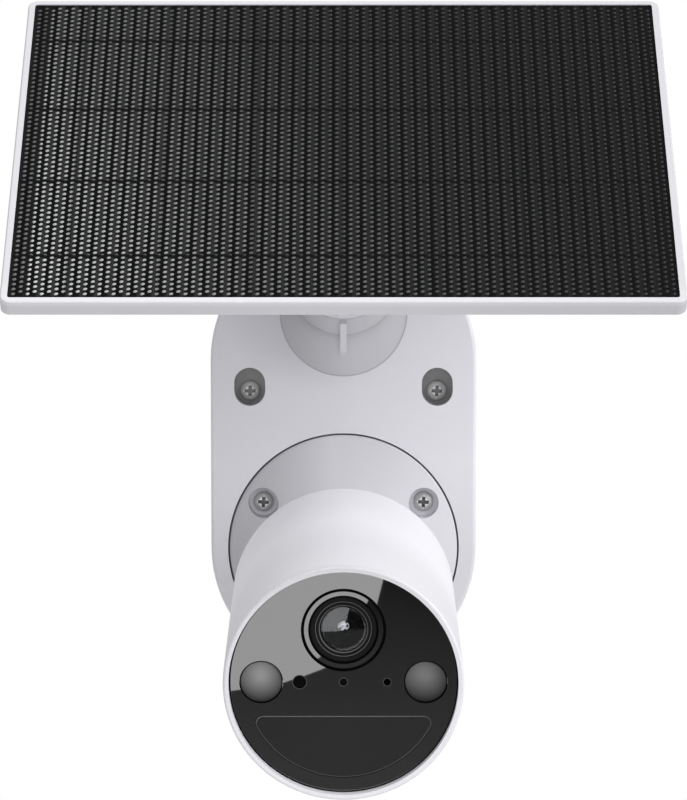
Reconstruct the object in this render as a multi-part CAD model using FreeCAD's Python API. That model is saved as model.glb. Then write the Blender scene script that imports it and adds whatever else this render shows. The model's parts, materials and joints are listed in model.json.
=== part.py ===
"""Solar-powered wall security camera, built as separate pieces.

Row frame: millimetres, origin on the wall, on the axis of the camera base disc.
+X is to the right seen from the front, +Y runs into the wall, +Z is up.

Working frames, each placed into the row frame at the end:
  camera frame  origin at the centre of the body's front rim, +Y towards the back of the body
  panel frame   origin at the centre of the panel's front face, +Y towards the back, +Z up the slope
  socket frame  origin at a ball's centre, -Y pointing out of the socket
"""
import FreeCAD, Part
import math
import os

# ---------------------------------------------------------------- driving dimensions
RUNNING_GAP = 0.3            # between surfaces of pieces that turn against each other
FIT_GAP = 0.1                # between pieces that are fitted together and stay still

# Wall plate
GASKET_THICKNESS = 1.0
PLATE_THICKNESS = 12.0       # wall to the plate's front face
PLATE_RADIUS = 42.5          # half the plate's width, and the radius of both ends
PLATE_CENTRES = 60.5         # from the lower end's centre to the upper end's centre
PLATE_WALL = 2.4
PLATE_FRONT_WALL = 2.6
PLATE_EDGE_ROUND = 1.2
PLATE_RIB_X = 18.0           # upright ribs inside, each side of the middle
PLATE_RIB_THICKNESS = 1.6
PLATE_RIB_ABOVE_DISC = 4.5   # cross rib above the disc's recess
PLATE_RIB_END = 5.0          # upright ribs end this far inside the plate's end
GASKET_WIDTH = 2.4

# Screws that hold the plate and the base disc to the wall
SCREW_THREAD_RADIUS = 1.75
SCREW_NECK_RADIUS = 1.5      # plain neck between the head and the thread
SCREW_NECK_LENGTH = 9.5
SCREW_HEAD_RADIUS = 3.2
SCREW_HEAD_HEIGHT = 2.5
SCREW_LENGTH = 30.0
CROSS_ARM = 0.56             # cross recess of every screw: half length and width in head radii,
CROSS_WIDTH = 0.3
CROSS_DEPTH = 0.6            # and depth in head heights
SCREW_HOLE_RADIUS = 2.1
SMALL_NECK_DROP = 0.2        # assembly screws: neck radius under the thread's
SMALL_NECK_LENGTH = 1.0

# Oblong pockets for the upper pair of wall screws
POCKET_X = 30.0
POCKET_Z = 52.1
POCKET_WIDTH = 9.9
POCKET_HEIGHT = 12.3
POCKET_DEPTH = 7.4
POCKET_FLOOR = 2.0
POCKET_WALL = 1.8
UPPER_SCREW_DROP = 0.7       # upper screws sit this far below their pockets' low end centre

# Camera base disc
DISC_RADIUS = 36.5
DISC_GAP = 0.6               # groove between the disc and the plate
DISC_RECESS = 5.0
DISC_RECESS_FLOOR = 2.4
DISC_PROUD = 0.3
DISC_CONE_HEIGHT = 5.2
DISC_HOLE_CIRCLE = 59.3      # pitch circle of the four lower wall screws
DISC_HOLE_ANGLE = 30.0       # above and below the horizontal
DISC_POCKET_RADIUS = 4.85
DISC_POCKET_FLOOR = 2.5      # material under a lower screw's head
DISC_POST_RADIUS = 4.0
DISC_CONE_MARGIN = 2.2       # flat ring round the neck at the top of the cone

# Camera ball joint
CAMERA_BALL_RADIUS = 11.0
CAMERA_BALL_STANDOFF = 16.0  # ball centre in front of the plate's front face
CAMERA_STEM_RADIUS = 4.5
CAMERA_CONE = 38.0           # how far the stem can lean from the socket's axis
CAMERA_PITCH = 4.1           # nose down

# Panel ball joint
PANEL_BALL_RADIUS = 9.0
PANEL_STEM_RADIUS = 4.5
PANEL_CONE = 20.0
PANEL_TILT = 52.4            # elevation of the panel's face normal

# Both ball joints
SEAT_WALL = 2.0
NECK_WALL = 1.7
COLLAR_WALL = 1.9
COLLAR_LIP_REACH = 0.45      # lip position in front of the ball's centre, in ball radii
COLLAR_FRONT_REACH = 0.73    # collar's front face, in ball radii
COLLAR_GRIPS = 18
COLLAR_GRIP_RADIUS = 1.1
SEAT_SLITS = 4
SEAT_SLIT_WIDTH = 1.0
LEAD_BORE_RADIUS = 1.5
LEAD_HOLE_RADIUS = 3.2
THREAD_RADIUS = 3.1          # quarter-inch stud at the end of each stem
INSERT_RADIUS = 4.5
LOCK_NUT_RADIUS = 8.5
LOCK_NUT_THICKNESS = 4.2
LOCK_NUT_GRIPS = 14
LOCK_NUT_EDGE = 0.6
STEM_SHOULDER_GAP = 0.4      # each side of a lock nut
COLLAR_EDGE = 1.2
GRIP_OUTSET = 0.45           # grip cutters' centres outside the rim, in cutter radii

# Panel boss on the plate
BOSS_Z = 76.2
BOSS_RADIUS = 20.0
BOSS_ELEVATION = 43.0
BOSS_FOOT_DROP = 0.4         # foot's centre below the boss's
BOSS_SLEEVE_RADIUS = 13.5    # round sleeve that rises out of the foot
BOSS_SLEEVE_REACH = 15.4     # sleeve's front from the plate along the socket's axis
BOSS_FOOT_REACH = 5.9        # and where the foot meets the sleeve's underside
BOSS_FOOT_LEAN = 25.0        # how far the foot's small end leans up
PANEL_COLLAR_BACK = 8.0      # rear edge of the panel's collar behind its ball's centre
BOSS_BALL_REACH = 24.0       # ball centre's distance from the plate along the socket's axis
BOSS_RIB_THICKNESS = 2.0
BOSS_RIB_REACH = 7.6         # lower end of the rib in front of the plate
BOSS_RIB_DROP = 13.0         # and below the boss's centre
BOSS_RIB_TOP_REACH = 13.2    # upper end of the rib, along the socket's axis
BOSS_RIB_TOP_RISE = 1.4      # and how far it stands out from the sleeve
BOSS_RIB_BULGE = 1.2
BOSS_SCREW_CIRCLE = 13.0
BOSS_SCREW_RADIUS = 1.25
BOSS_SCREW_LENGTH = 7.0
BOSS_SCREW_HEAD_RADIUS = 2.4
BOSS_SCREW_HEAD_HEIGHT = 1.6

# Camera body
BODY_RADIUS = 34.0
BODY_LENGTH = 108.0
BODY_WALL = 2.5
BODY_BACK_ROUND = 8.0
BODY_RIM_ROUND = 0.7
STEM_SETBACK = 24.6          # ball centre behind the body's back face
STEM_RISE = 5.1              # stem axis above the body's axis
CAP_LENGTH = 12.0
CAP_SPIGOT = 4.0
CAP_SCREW_INSET = 4.5        # screws inside the body's inner wall
CAP_SCREW_RADIUS = 1.25
CAP_SCREW_LENGTH = 18.0
CAP_SCREW_HEAD_RADIUS = 2.6
CAP_SCREW_HEAD_HEIGHT = 1.8
CAP_POST_RADIUS = 3.8
CAP_COUNTERBORE = 3.0
SCREW_HOLE_PLAY = 0.2
INSERT_BOSS_WALL = 3.0
SPEAKER_HOLE_RADIUS = 0.75
SPEAKER_HOLE_PITCH = 3.2
SPEAKER_HOLE_RINGS = 2       # round the middle hole

# Face
FACE_INSET = 2.4
FACE_THICKNESS = 2.0
FACE_EDGE = 1.7              # white rim round the face
FACE_SEAL = 1.0
LEDGE_THICKNESS = 2.0
LEDGE_REACH = 1.7            # from the body's inner wall
LENS_MARGIN = 5.2            # from the face's edge to the lens recess
LENS_LIGHT_GAP = 2.1         # from the lens recess to the status light
BEZEL_WIDTH = 2.35           # from the recess's edge to the barrel
BEZEL_GROOVE = 0.6
BEZEL_GROOVE_DEPTH = 0.9
BARREL_RING_WIDTH = 1.65     # each of the two rings on the barrel's front
BARREL_SHANK_RADIUS = 7.0
LENS_DOME = 1.1
REAR_LENS_RADIUS = 4.6
SPOT_MARGIN = 2.9            # from the face's edge to a spotlight
SPOT_RADIUS = 6.2
SPOT_FLANGE = 0.3
SENSOR_HOLE_MARGIN = 4.65    # from a spotlight's edge to a sensor hole's centre
LIGHT_WINDOW_RADIUS = 1.8
STATUS_LIGHT_RADIUS = 1.0
MICROPHONE_HOLE_RADIUS = 0.95
PIR_MARGIN = 4.3             # from the face's edge to the window
PIR_DROP = 3.6               # window's top below the spotlights
PIR_CORNER = 2.3
PIR_FLANGE = 1.0
PIR_SENSOR_RADIUS = 4.1

# Inside the body, positions behind the front rim
FRONT_BOARD_Y = 12.0
FRONT_BOARD_MARGIN = 1.8     # inside the ledge
FRONT_POST_INSET = 3.0       # the frame's posts inside the front board's edge
BOARD_THICKNESS = 1.2
LENS_MOUNT_Y = 18.0
LENS_MOUNT_HALF = 8.5
SENSOR_BOARD_Y = 27.0
SENSOR_BOARD_HALF_WIDTH = 13.0
SENSOR_BOARD_HALF_HEIGHT = 12.0
LED_HALF = 1.75
BULKHEAD_Y = 30.0
BULKHEAD_THICKNESS = 2.0
FRAME_PLAY = 0.4             # between the frame and the body's inner wall
FRAME_WALL = 2.0
FRAME_END_GAP = 2.0          # between the frame's ring and the cap's spigot
TROUGH_TOP_Z = 4.0
FRAME_RING_LENGTH = 6.0
FRAME_RING_WIDTH = 4.0
FRAME_SCREW_POST_RADIUS = 3.4
FRAME_RIB_INSET = 4.0        # cross ribs from each end of the trough
FRAME_RIB_THICKNESS = 2.0
CELL_SIDE_ROOM = 12.2        # from the cells' sides to the frame's outside
CELL_MIDDLE_GAP = 1.0
CELL_END_GAP = 2.7           # between the cells and the speaker
CELL_Z = -9.0
HOLDER_SIDE_WALL = 1.4
HOLDER_FLOOR = 2.3
MAIN_BOARD_Z = 9.0
MAIN_BOARD_MARGIN = 5.1      # inside the frame's outside
MAIN_BOARD_THICKNESS = 1.6
MAIN_BOARD_END_GAP = 0.5     # in front of the frame's ring
SHIELD_HALF_WIDTH = 11.0
SHIELD_SETBACK = 15.0        # behind the main board's front edge
SHIELD_END_ROOM = 11.0       # in front of its rear edge
SHIELD_HEIGHT = 2.6
ANTENNA_HALF_WIDTH = 7.0
ANTENNA_SETBACK = 14.0       # behind the bulkhead
ANTENNA_END_ROOM = 10.0      # in front of the cap
SPEAKER_THICKNESS = 4.8
SPEAKER_MARGIN = 0.5         # inside the flat of the cap
SPEAKER_BOSS_GAP = 2.1       # under the insert's boss

# Port bay under the body
BAY_SETBACK = 16.0           # behind the bulkhead
BAY_END_ROOM = 10.0          # in front of the trough's end
BAY_HALF_WIDTH = 11.0
BAY_WALL = 1.2
BAY_FLOOR = 1.6
BAY_FRAME_MARGIN = 3.0       # the trough's window round the bay
FLAP_THICKNESS = 1.6
FLAP_MARGIN = 0.8
FLAP_HINGE_GAP = 0.2         # hinge line behind the flap's rear edge
FLAP_HINGE_DROP = 0.1        # hinge line below the body's surface
BUTTON_TRAVEL = 0.4
BUTTON_PROUD = 1.0
POWER_BUTTON_RADIUS = 2.4
RESET_BUTTON_RADIUS = 1.5
BUTTON_FLANGE = 0.8
POWER_BUTTON_X = -4.5
RESET_BUTTON_X = 5.5
SWITCH_RADIUS = 1.4
SWITCH_HEIGHT = 0.2
PORT_BOARD_HALF_WIDTH = 9.5
PORT_BOARD_THICKNESS = 1.0
PORT_BOARD_DROP = 0.4        # under the battery holder
PORT_BOARD_FRONT_REACH = 14.5
PORT_BOARD_BACK_REACH = 7.5
CARD_SOCKET_HALF_WIDTH = 7.2
CARD_SOCKET_LENGTH = 13.8
CARD_HALF_WIDTH = 5.8
CARD_GAP = 0.8

# Solar panel
PANEL_WIDTH = 198.0
PANEL_HEIGHT = 139.0
PANEL_CORNER = 3.0
PANEL_FRAME_DEPTH = 5.0
PANEL_SIDE_BEZEL = 2.15
PANEL_END_BEZEL = 2.0
PANEL_STANDOFF = 56.7        # ball centre behind the panel's front face
PANEL_RISE = 8.1             # stem axis above the panel's centre, along the slope
LAMINATE_THICKNESS = 1.2
LAMINATE_INSET = 0.3
CELL_COLUMNS = 7
CELL_ROWS = 4
CELL_SIDE_MARGIN = 3.225     # from the frame's opening to the outer cells' pitch lines
CELL_END_MARGIN = 1.5
CELL_GAP = 0.5
CELL_SHEET = 0.4
BACK_COVER_THICKNESS = 1.6
PAD_WIDTH = 76.0
PAD_HEIGHT = 54.0
PAD_HEIGHT_BEHIND = 6.0
PAD_WALL = 2.0
HUB_FLANGE_RADIUS = 15.0
HUB_FLANGE_THICKNESS = 3.0
HUB_RADIUS = 8.0
HUB_END_Y = 26.0
HUB_SCREW_CIRCLE = 23.0
HUB_SCREW_RADIUS = 1.25
HUB_SCREW_LENGTH = 8.0
HUB_SCREW_HEAD_RADIUS = 2.3
HUB_SCREW_HEAD_HEIGHT = 1.5
CHARGE_BOARD_HALF_WIDTH = 30.0
CHARGE_BOARD_LOW = 14.0      # above the stem's axis, along the slope
CHARGE_BOARD_HEIGHT = 9.0
CHARGE_BOARD_POST_X = 24.0
CHARGE_BOARD_POST_RADIUS = 2.5
BACK_RIB_OUTSET = 22.0       # outside the pad
BACK_RIB_THICKNESS = 1.6
BACK_RIB_LOW = 6.0
BACK_RIB_END = 12.5          # inside the frame's opening
PANEL_LEDGE = 3.0

# ---------------------------------------------------------------- worked-out places
PLATE_FRONT_Y = -PLATE_THICKNESS
BALL_Y = PLATE_FRONT_Y - CAMERA_BALL_STANDOFF
DISC_BACK_Y = PLATE_FRONT_Y + DISC_RECESS
BOSS_LEAN = math.radians(BOSS_ELEVATION)
BOSS_DIRECTION = FreeCAD.Vector(0, -math.cos(BOSS_LEAN), math.sin(BOSS_LEAN))
CAMERA_BALL = FreeCAD.Vector(0, BALL_Y, 0)
PANEL_BALL = FreeCAD.Vector(0, PLATE_FRONT_Y, BOSS_Z) + BOSS_DIRECTION * BOSS_BALL_REACH
FACE_BACK_Y = FACE_INSET + FACE_THICKNESS
LEDGE_Y = FACE_BACK_Y + FACE_SEAL
PLATE_RIB_LOW_Z = DISC_RADIUS + DISC_GAP + PLATE_RIB_ABOVE_DISC
PLATE_RIB_HIGH_Z = PLATE_CENTRES + PLATE_RADIUS - PLATE_RIB_END
BODY_INNER = BODY_RADIUS - BODY_WALL
CAP_Y = BODY_LENGTH - CAP_LENGTH
CAP_INSIDE_Y = BODY_LENGTH - BODY_WALL
CAP_FLAT_RADIUS = BODY_RADIUS - BODY_BACK_ROUND
CAP_SCREW_CIRCLE = 2 * (BODY_INNER - CAP_SCREW_INSET)
SPEAKER_TOP_Z = STEM_RISE - INSERT_RADIUS - INSERT_BOSS_WALL - SPEAKER_BOSS_GAP
SPEAKER_RADIUS = (CAP_FLAT_RADIUS - SPEAKER_MARGIN + SPEAKER_TOP_Z) / 2
SPEAKER_Z = SPEAKER_TOP_Z - SPEAKER_RADIUS
FACE_RADIUS = BODY_RADIUS - FACE_EDGE
LEDGE_RADIUS = BODY_INNER - LEDGE_REACH
LENS_RECESS_RADIUS = (FACE_RADIUS - LENS_MARGIN - LENS_LIGHT_GAP - STATUS_LIGHT_RADIUS) / 2
LENS_Z = FACE_RADIUS - LENS_MARGIN - LENS_RECESS_RADIUS
BARREL_RADIUS = LENS_RECESS_RADIUS - BEZEL_WIDTH
BARREL_RIM_RADIUS = BARREL_RADIUS - BARREL_RING_WIDTH
LENS_RADIUS = BARREL_RIM_RADIUS - BARREL_RING_WIDTH
SPOT_X = FACE_RADIUS - SPOT_MARGIN - SPOT_RADIUS
SENSOR_HOLE_X = SPOT_X - SPOT_RADIUS - SENSOR_HOLE_MARGIN
PIR_RADIUS = FACE_RADIUS - PIR_MARGIN
PIR_TOP_Z = -SPOT_RADIUS - PIR_DROP
PIR_SENSOR_Z = (PIR_TOP_Z - PIR_RADIUS) / 2
FRONT_BOARD_RADIUS = LEDGE_RADIUS - FRONT_BOARD_MARGIN
CAMERA_COLLAR_BACK = CAMERA_BALL_STANDOFF - DISC_CONE_HEIGHT - DISC_PROUD - 1.0
POCKET_LOW_Z = POCKET_Z - (POCKET_HEIGHT - POCKET_WIDTH) / 2
POCKET_HIGH_Z = POCKET_Z + (POCKET_HEIGHT - POCKET_WIDTH) / 2
POCKET_SEAT_Y = PLATE_FRONT_Y + POCKET_DEPTH
UPPER_SCREW_Z = POCKET_LOW_Z - UPPER_SCREW_DROP
BULKHEAD_BACK_Y = BULKHEAD_Y + BULKHEAD_THICKNESS
BOARDS_Y = BULKHEAD_BACK_Y + 1.0
FRAME_RADIUS = BODY_INNER - FRAME_PLAY
TROUGH_RADIUS = FRAME_RADIUS - FRAME_WALL
FRAME_RING_BACK_Y = CAP_Y - CAP_SPIGOT - FRAME_END_GAP
TROUGH_END_Y = FRAME_RING_BACK_Y - FRAME_RING_LENGTH
FRAME_RING_FRONT_Y = TROUGH_END_Y - 0.5
FRAME_RIB_PLACES = (BULKHEAD_BACK_Y + FRAME_RIB_INSET, TROUGH_END_Y - FRAME_RIB_INSET)
CELL_RADIUS = (FRAME_RADIUS - CELL_SIDE_ROOM - CELL_MIDDLE_GAP / 2) / 2
CELL_X = CELL_RADIUS + CELL_MIDDLE_GAP / 2
CELL_LENGTH = CAP_INSIDE_Y - SPEAKER_THICKNESS - CELL_END_GAP - BOARDS_Y
HOLDER_HALF_WIDTH = CELL_X + CELL_RADIUS + HOLDER_SIDE_WALL
HOLDER_BOTTOM_Z = CELL_Z - CELL_RADIUS - HOLDER_FLOOR
MAIN_BOARD_HALF_WIDTH = FRAME_RADIUS - MAIN_BOARD_MARGIN
MAIN_BOARD_BACK_Y = FRAME_RING_FRONT_Y - MAIN_BOARD_END_GAP
MAIN_BOARD_TOP_Z = MAIN_BOARD_Z + MAIN_BOARD_THICKNESS
PORT_BOARD_Z = HOLDER_BOTTOM_Z - PORT_BOARD_DROP - PORT_BOARD_THICKNESS
BAY_TOP_Z = PORT_BOARD_Z - FIT_GAP
BAY_FLOOR_Z = BAY_TOP_Z - BAY_FLOOR
BAY_RIM_Z = -BODY_INNER + 0.5
BAY_FRONT_Y = BULKHEAD_BACK_Y + BAY_SETBACK
BAY_BACK_Y = TROUGH_END_Y - BAY_END_ROOM
BUTTON_Y = (BAY_FRONT_Y + BAY_BACK_Y) / 2
BUTTONS = ((POWER_BUTTON_X, POWER_BUTTON_RADIUS), (RESET_BUTTON_X, RESET_BUTTON_RADIUS))
FLAP_INNER = BODY_RADIUS - FLAP_THICKNESS
FLAP_LIP_TOP_Z = -BODY_INNER + 0.9
SPOT_PLACES = ((-SPOT_X, 0.0), (SPOT_X, 0.0))
OPEN_WIDTH = PANEL_WIDTH - 2 * PANEL_SIDE_BEZEL
OPEN_HEIGHT = PANEL_HEIGHT - 2 * PANEL_END_BEZEL
CELL_PITCH_X = (OPEN_WIDTH - 2 * CELL_SIDE_MARGIN) / CELL_COLUMNS
CELL_PITCH_Z = (OPEN_HEIGHT - 2 * CELL_END_MARGIN) / CELL_ROWS
BACK_RIB_X = PAD_WIDTH / 2 + BACK_RIB_OUTSET
BACK_RIB_HIGH = OPEN_HEIGHT / 2 - BACK_RIB_END
LAMINATE_BACK_Y = LAMINATE_INSET + LAMINATE_THICKNESS
SHEET_BACK_Y = LAMINATE_BACK_Y + CELL_SHEET
BACK_Y = PANEL_FRAME_DEPTH
PAD_Y = BACK_Y + PAD_HEIGHT_BEHIND
HUB_FLANGE_Y = PAD_Y + HUB_FLANGE_THICKNESS
CHARGE_BOARD_BACK_Y = BACK_Y + 0.7
CHARGE_BOARD_Z = PANEL_RISE + CHARGE_BOARD_LOW
X_AXIS = FreeCAD.Vector(1, 0, 0)
Y_AXIS = FreeCAD.Vector(0, 1, 0)
ORIGIN = FreeCAD.Vector(0, 0, 0)

os.makedirs("parts", exist_ok=True)
PIECES = {}


# ---------------------------------------------------------------- shape helpers
def block(x0, x1, y0, y1, z0, z1):
    """A box between two corners."""
    return Part.makeBox(x1 - x0, y1 - y0, z1 - z0, FreeCAD.Vector(x0, y0, z0))


def rod(radius, y0, y1, x=0.0, z=0.0):
    """A round bar along Y."""
    return Part.makeCylinder(radius, y1 - y0, FreeCAD.Vector(x, y0, z), Y_AXIS)


def tube(outer, inner, y0, y1, x=0.0, z=0.0):
    """A round tube along Y."""
    return rod(outer, y0, y1, x, z).cut(rod(inner, y0, y1, x, z))


def taper(radius0, radius1, y0, y1, x=0.0, z=0.0):
    """A cone frustum along Y, radius0 at y0."""
    return Part.makeCone(radius0, radius1, y1 - y0, FreeCAD.Vector(x, y0, z), Y_AXIS)


def post(radius, z0, z1, x, y):
    """A round bar along Z."""
    return Part.makeCylinder(radius, z1 - z0, FreeCAD.Vector(x, y, z0))


def turned(profile, x=0.0, z=0.0):
    """A solid of revolution about Y from (radius, y) points."""
    points = [FreeCAD.Vector(radius, y, 0) for radius, y in profile]
    face = Part.Face(Part.makePolygon(points + [points[0]]))
    solid = face.revolve(ORIGIN, Y_AXIS, 360)
    solid.translate(FreeCAD.Vector(x, 0, z))
    return solid


def fused(shapes):
    """One solid from several that touch."""
    first = shapes[0]
    return first.multiFuse(shapes[1:]).removeSplitter()


def edges_along_y(solid):
    """The straight edges that run along Y."""
    return [edge for edge in solid.Edges if edge.BoundBox.XLength < 1e-6 and edge.BoundBox.ZLength < 1e-6]


def edges_at(solid, y):
    """The edges that lie in one plane across Y."""
    return [edge for edge in solid.Edges
            if abs(edge.BoundBox.YMin - y) < 1e-6 and abs(edge.BoundBox.YMax - y) < 1e-6]


def pill(radius, y0, y1, low_z, high_z, x=0.0):
    """An upright pill-shaped slab between two end centres."""
    left = x - radius
    right = x + radius
    edges = [
        Part.makeLine(FreeCAD.Vector(left, y0, low_z), FreeCAD.Vector(left, y0, high_z)),
        Part.Arc(FreeCAD.Vector(left, y0, high_z), FreeCAD.Vector(x, y0, high_z + radius),
                 FreeCAD.Vector(right, y0, high_z)).toShape(),
        Part.makeLine(FreeCAD.Vector(right, y0, high_z), FreeCAD.Vector(right, y0, low_z)),
        Part.Arc(FreeCAD.Vector(right, y0, low_z), FreeCAD.Vector(x, y0, low_z - radius),
                 FreeCAD.Vector(left, y0, low_z)).toShape(),
    ]
    return Part.Face(Part.Wire(edges)).extrude(FreeCAD.Vector(0, y1 - y0, 0))


def rounded_slab(width, height, corner, y0, y1, z=0.0):
    """A slab in XZ with rounded corners, centred on x = 0 and the given z."""
    slab = block(-width / 2, width / 2, y0, y1, z - height / 2, z + height / 2)
    return slab.makeFillet(corner, edges_along_y(slab))


def rounded_end(solid, end_y, radius):
    """Rounds the edges that lie in the plane y = end_y."""
    return solid.makeFillet(radius, edges_at(solid, end_y))


def half_moon(radius, top_z, corner, y0, y1):
    """The lower part of a disc, cut off by a flat top, with rounded top corners."""
    half_chord = math.sqrt(radius * radius - top_z * top_z)
    arc = Part.Arc(FreeCAD.Vector(half_chord, y0, top_z), FreeCAD.Vector(0, y0, -radius),
                   FreeCAD.Vector(-half_chord, y0, top_z)).toShape()
    flat = Part.makeLine(FreeCAD.Vector(-half_chord, y0, top_z), FreeCAD.Vector(half_chord, y0, top_z))
    solid = Part.Face(Part.Wire([arc, flat])).extrude(FreeCAD.Vector(0, y1 - y0, 0))
    return solid.makeFillet(corner, edges_along_y(solid))


def pan_head(head, head_height):
    """A pan head with a rounded crown, its underside on y = 0."""
    crown = head * 0.4
    side = -head_height * 0.3
    top = FreeCAD.Vector(0, -head_height, 0)
    flat_edge = FreeCAD.Vector(crown, -head_height, 0)
    shoulder = FreeCAD.Vector(head * 0.84, -head_height * 0.8, 0)
    side_top = FreeCAD.Vector(head, side, 0)
    rim = FreeCAD.Vector(head, 0, 0)
    edges = [Part.makeLine(ORIGIN, top), Part.makeLine(top, flat_edge),
             Part.Arc(flat_edge, shoulder, side_top).toShape(),
             Part.makeLine(side_top, rim), Part.makeLine(rim, ORIGIN)]
    solid = Part.Face(Part.Wire(edges)).revolve(ORIGIN, Y_AXIS, 360)
    arm = head * CROSS_ARM
    half = head * CROSS_WIDTH / 2
    floor = -head_height * (1 - CROSS_DEPTH)
    across = block(-arm, arm, -head_height, floor, -half, half)
    upright = block(-half, half, -head_height, floor, -arm, arm)
    return solid.cut(fused([across, upright]))


def screw(thread, neck, neck_length, length, head, head_height):
    """A screw pointing to +Y, with its head's underside on y = 0."""
    shank = turned([(0, -0.1), (neck, -0.1), (neck, neck_length), (thread, neck_length),
                    (thread, length - 2 * thread), (0, length)])
    return fused([pan_head(head, head_height), shank])


def reversed_screws(places, y_seat, centre_z, thread, length, head, head_height):
    """Small screws pointing to -Y, with their heads' undersides at y_seat."""
    made = []
    for x, z in places:
        one = screw(thread, thread - SMALL_NECK_DROP, SMALL_NECK_LENGTH, length, head, head_height)
        one.rotate(ORIGIN, X_AXIS, 180)
        one.translate(FreeCAD.Vector(x, y_seat, centre_z + z))
        made.append(one)
    return Part.makeCompound(made)


def on_circle(diameter, angles):
    """Points (x, z) on a circle."""
    points = []
    for angle in angles:
        turn = math.radians(angle)
        points.append((diameter / 2 * math.cos(turn), diameter / 2 * math.sin(turn)))
    return points


def evenly(count):
    """Evenly spaced angles."""
    return [360.0 * i / count for i in range(count)]


def scalloped(solid, radius, count, grip_radius, y0, y1):
    """Cuts finger grips round the outside of a ring."""
    centres = on_circle(2 * (radius + grip_radius * GRIP_OUTSET), evenly(count))
    return solid.cut(Part.makeCompound([rod(grip_radius, y0, y1, x, z) for x, z in centres]))


def from_socket(solid, ball, elevation):
    """Places a socket-frame shape at a ball, with the socket pointing up by the elevation."""
    placed = solid.copy()
    placed.rotate(ORIGIN, X_AXIS, -elevation)
    placed.translate(ball)
    return placed


def from_camera(solid):
    """Places a camera-frame shape in the row frame."""
    placed = solid.copy()
    placed.translate(FreeCAD.Vector(0, -(BODY_LENGTH + STEM_SETBACK), -STEM_RISE))
    placed.rotate(ORIGIN, X_AXIS, CAMERA_PITCH)
    placed.translate(CAMERA_BALL)
    return placed


def from_panel(solid):
    """Places a panel-frame shape in the row frame."""
    placed = solid.copy()
    placed.translate(FreeCAD.Vector(0, -PANEL_STANDOFF, -PANEL_RISE))
    placed.rotate(ORIGIN, X_AXIS, -PANEL_TILT)
    placed.translate(PANEL_BALL)
    return placed


def keep(name, shape):
    """Stores a finished piece under its node name."""
    PIECES[name] = shape


# ---------------------------------------------------------------- ball joints
class BallJoint:
    """Sizes of one ball joint, in its socket frame."""

    def __init__(self, ball_radius, stem_radius, cone):
        self.ball = ball_radius
        self.stem = stem_radius
        self.cone = cone
        self.cavity = ball_radius + RUNNING_GAP
        self.collar_cavity = self.cavity + FIT_GAP
        self.seat = ball_radius + SEAT_WALL
        self.bore = self.seat + RUNNING_GAP
        self.neck = self.bore + NECK_WALL
        self.collar_bore = self.neck + RUNNING_GAP
        self.collar = self.collar_bore + COLLAR_WALL
        self.seat_back = self.cavity + SEAT_WALL * 0.8
        self.socket_floor = self.seat_back + RUNNING_GAP
        self.neck_front = 1.0
        self.collar_front = -ball_radius * COLLAR_FRONT_REACH
        self.lip = -ball_radius * COLLAR_LIP_REACH

    def neck_solid(self, back_y):
        """The fixed threaded neck, from back_y to just behind the ball's centre."""
        return rod(self.neck, self.neck_front, back_y)

    def socket_cut(self):
        """The hole for the seat, with a smaller hole behind it for a lead."""
        return rod(self.bore, self.neck_front - 1, self.socket_floor)

    def seat_solid(self):
        """The slit cup that the ball sits in."""
        cup = rod(self.seat, self.neck_front - 0.2, self.seat_back)
        cup = cup.cut(Part.makeSphere(self.cavity))
        cup = cup.cut(rod(LEAD_HOLE_RADIUS, 0, self.seat_back))
        slits = []
        for angle in evenly(SEAT_SLITS):
            slit = block(0, self.seat + 1, 0, self.cavity * 0.6, -SEAT_SLIT_WIDTH / 2, SEAT_SLIT_WIDTH / 2)
            slit.rotate(ORIGIN, Y_AXIS, angle)
            slits.append(slit)
        return cup.cut(Part.makeCompound(slits))

    def collar_solid(self, back_y):
        """The clamp collar, screwed over the neck, with a lip in front of the ball."""
        front = self.collar_front
        stem_edge = math.degrees(math.asin(self.stem / self.ball))
        opening = abs(front) * math.tan(math.radians(self.cone + stem_edge)) + 1
        opening = min(opening, self.collar - 1.0)
        lip_radius = math.sqrt(self.collar_cavity ** 2 - self.lip ** 2)
        ring = turned([(0, front), (self.collar - COLLAR_EDGE, front), (self.collar, front + COLLAR_EDGE),
                       (self.collar, back_y - 0.6), (self.collar - 0.6, back_y), (0, back_y)])
        ring = ring.cut(rod(self.collar_bore, self.neck_front - RUNNING_GAP, back_y + 1))
        ring = ring.cut(Part.makeSphere(self.collar_cavity))
        ring = ring.cut(rod(lip_radius, self.lip, self.neck_front))
        ring = ring.cut(taper(opening, lip_radius, front - 0.01, self.lip + 0.01))
        return scalloped(ring, self.collar, COLLAR_GRIPS, COLLAR_GRIP_RADIUS, front + 2.2, back_y - 1.8)


CAMERA_JOINT = BallJoint(CAMERA_BALL_RADIUS, CAMERA_STEM_RADIUS, CAMERA_CONE)
PANEL_JOINT = BallJoint(PANEL_BALL_RADIUS, PANEL_STEM_RADIUS, PANEL_CONE)


def ball_stem(ball_y, ball_z, ball_radius, stem_radius, shoulder_y, end_y):
    """Ball, stem and threaded stud, along Y in the frame of the thing that it carries."""
    ball = Part.makeSphere(ball_radius, FreeCAD.Vector(0, ball_y, ball_z))
    stem = rod(stem_radius, shoulder_y, ball_y, 0, ball_z)
    stud = turned([(0, end_y), (THREAD_RADIUS - 0.5, end_y), (THREAD_RADIUS, end_y + 0.5),
                   (THREAD_RADIUS, shoulder_y + 1), (0, shoulder_y + 1)], 0, ball_z)
    whole = fused([ball, stem, stud])
    return whole.cut(rod(LEAD_BORE_RADIUS, end_y - 1, ball_y + ball_radius + 1, 0, ball_z))


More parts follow.
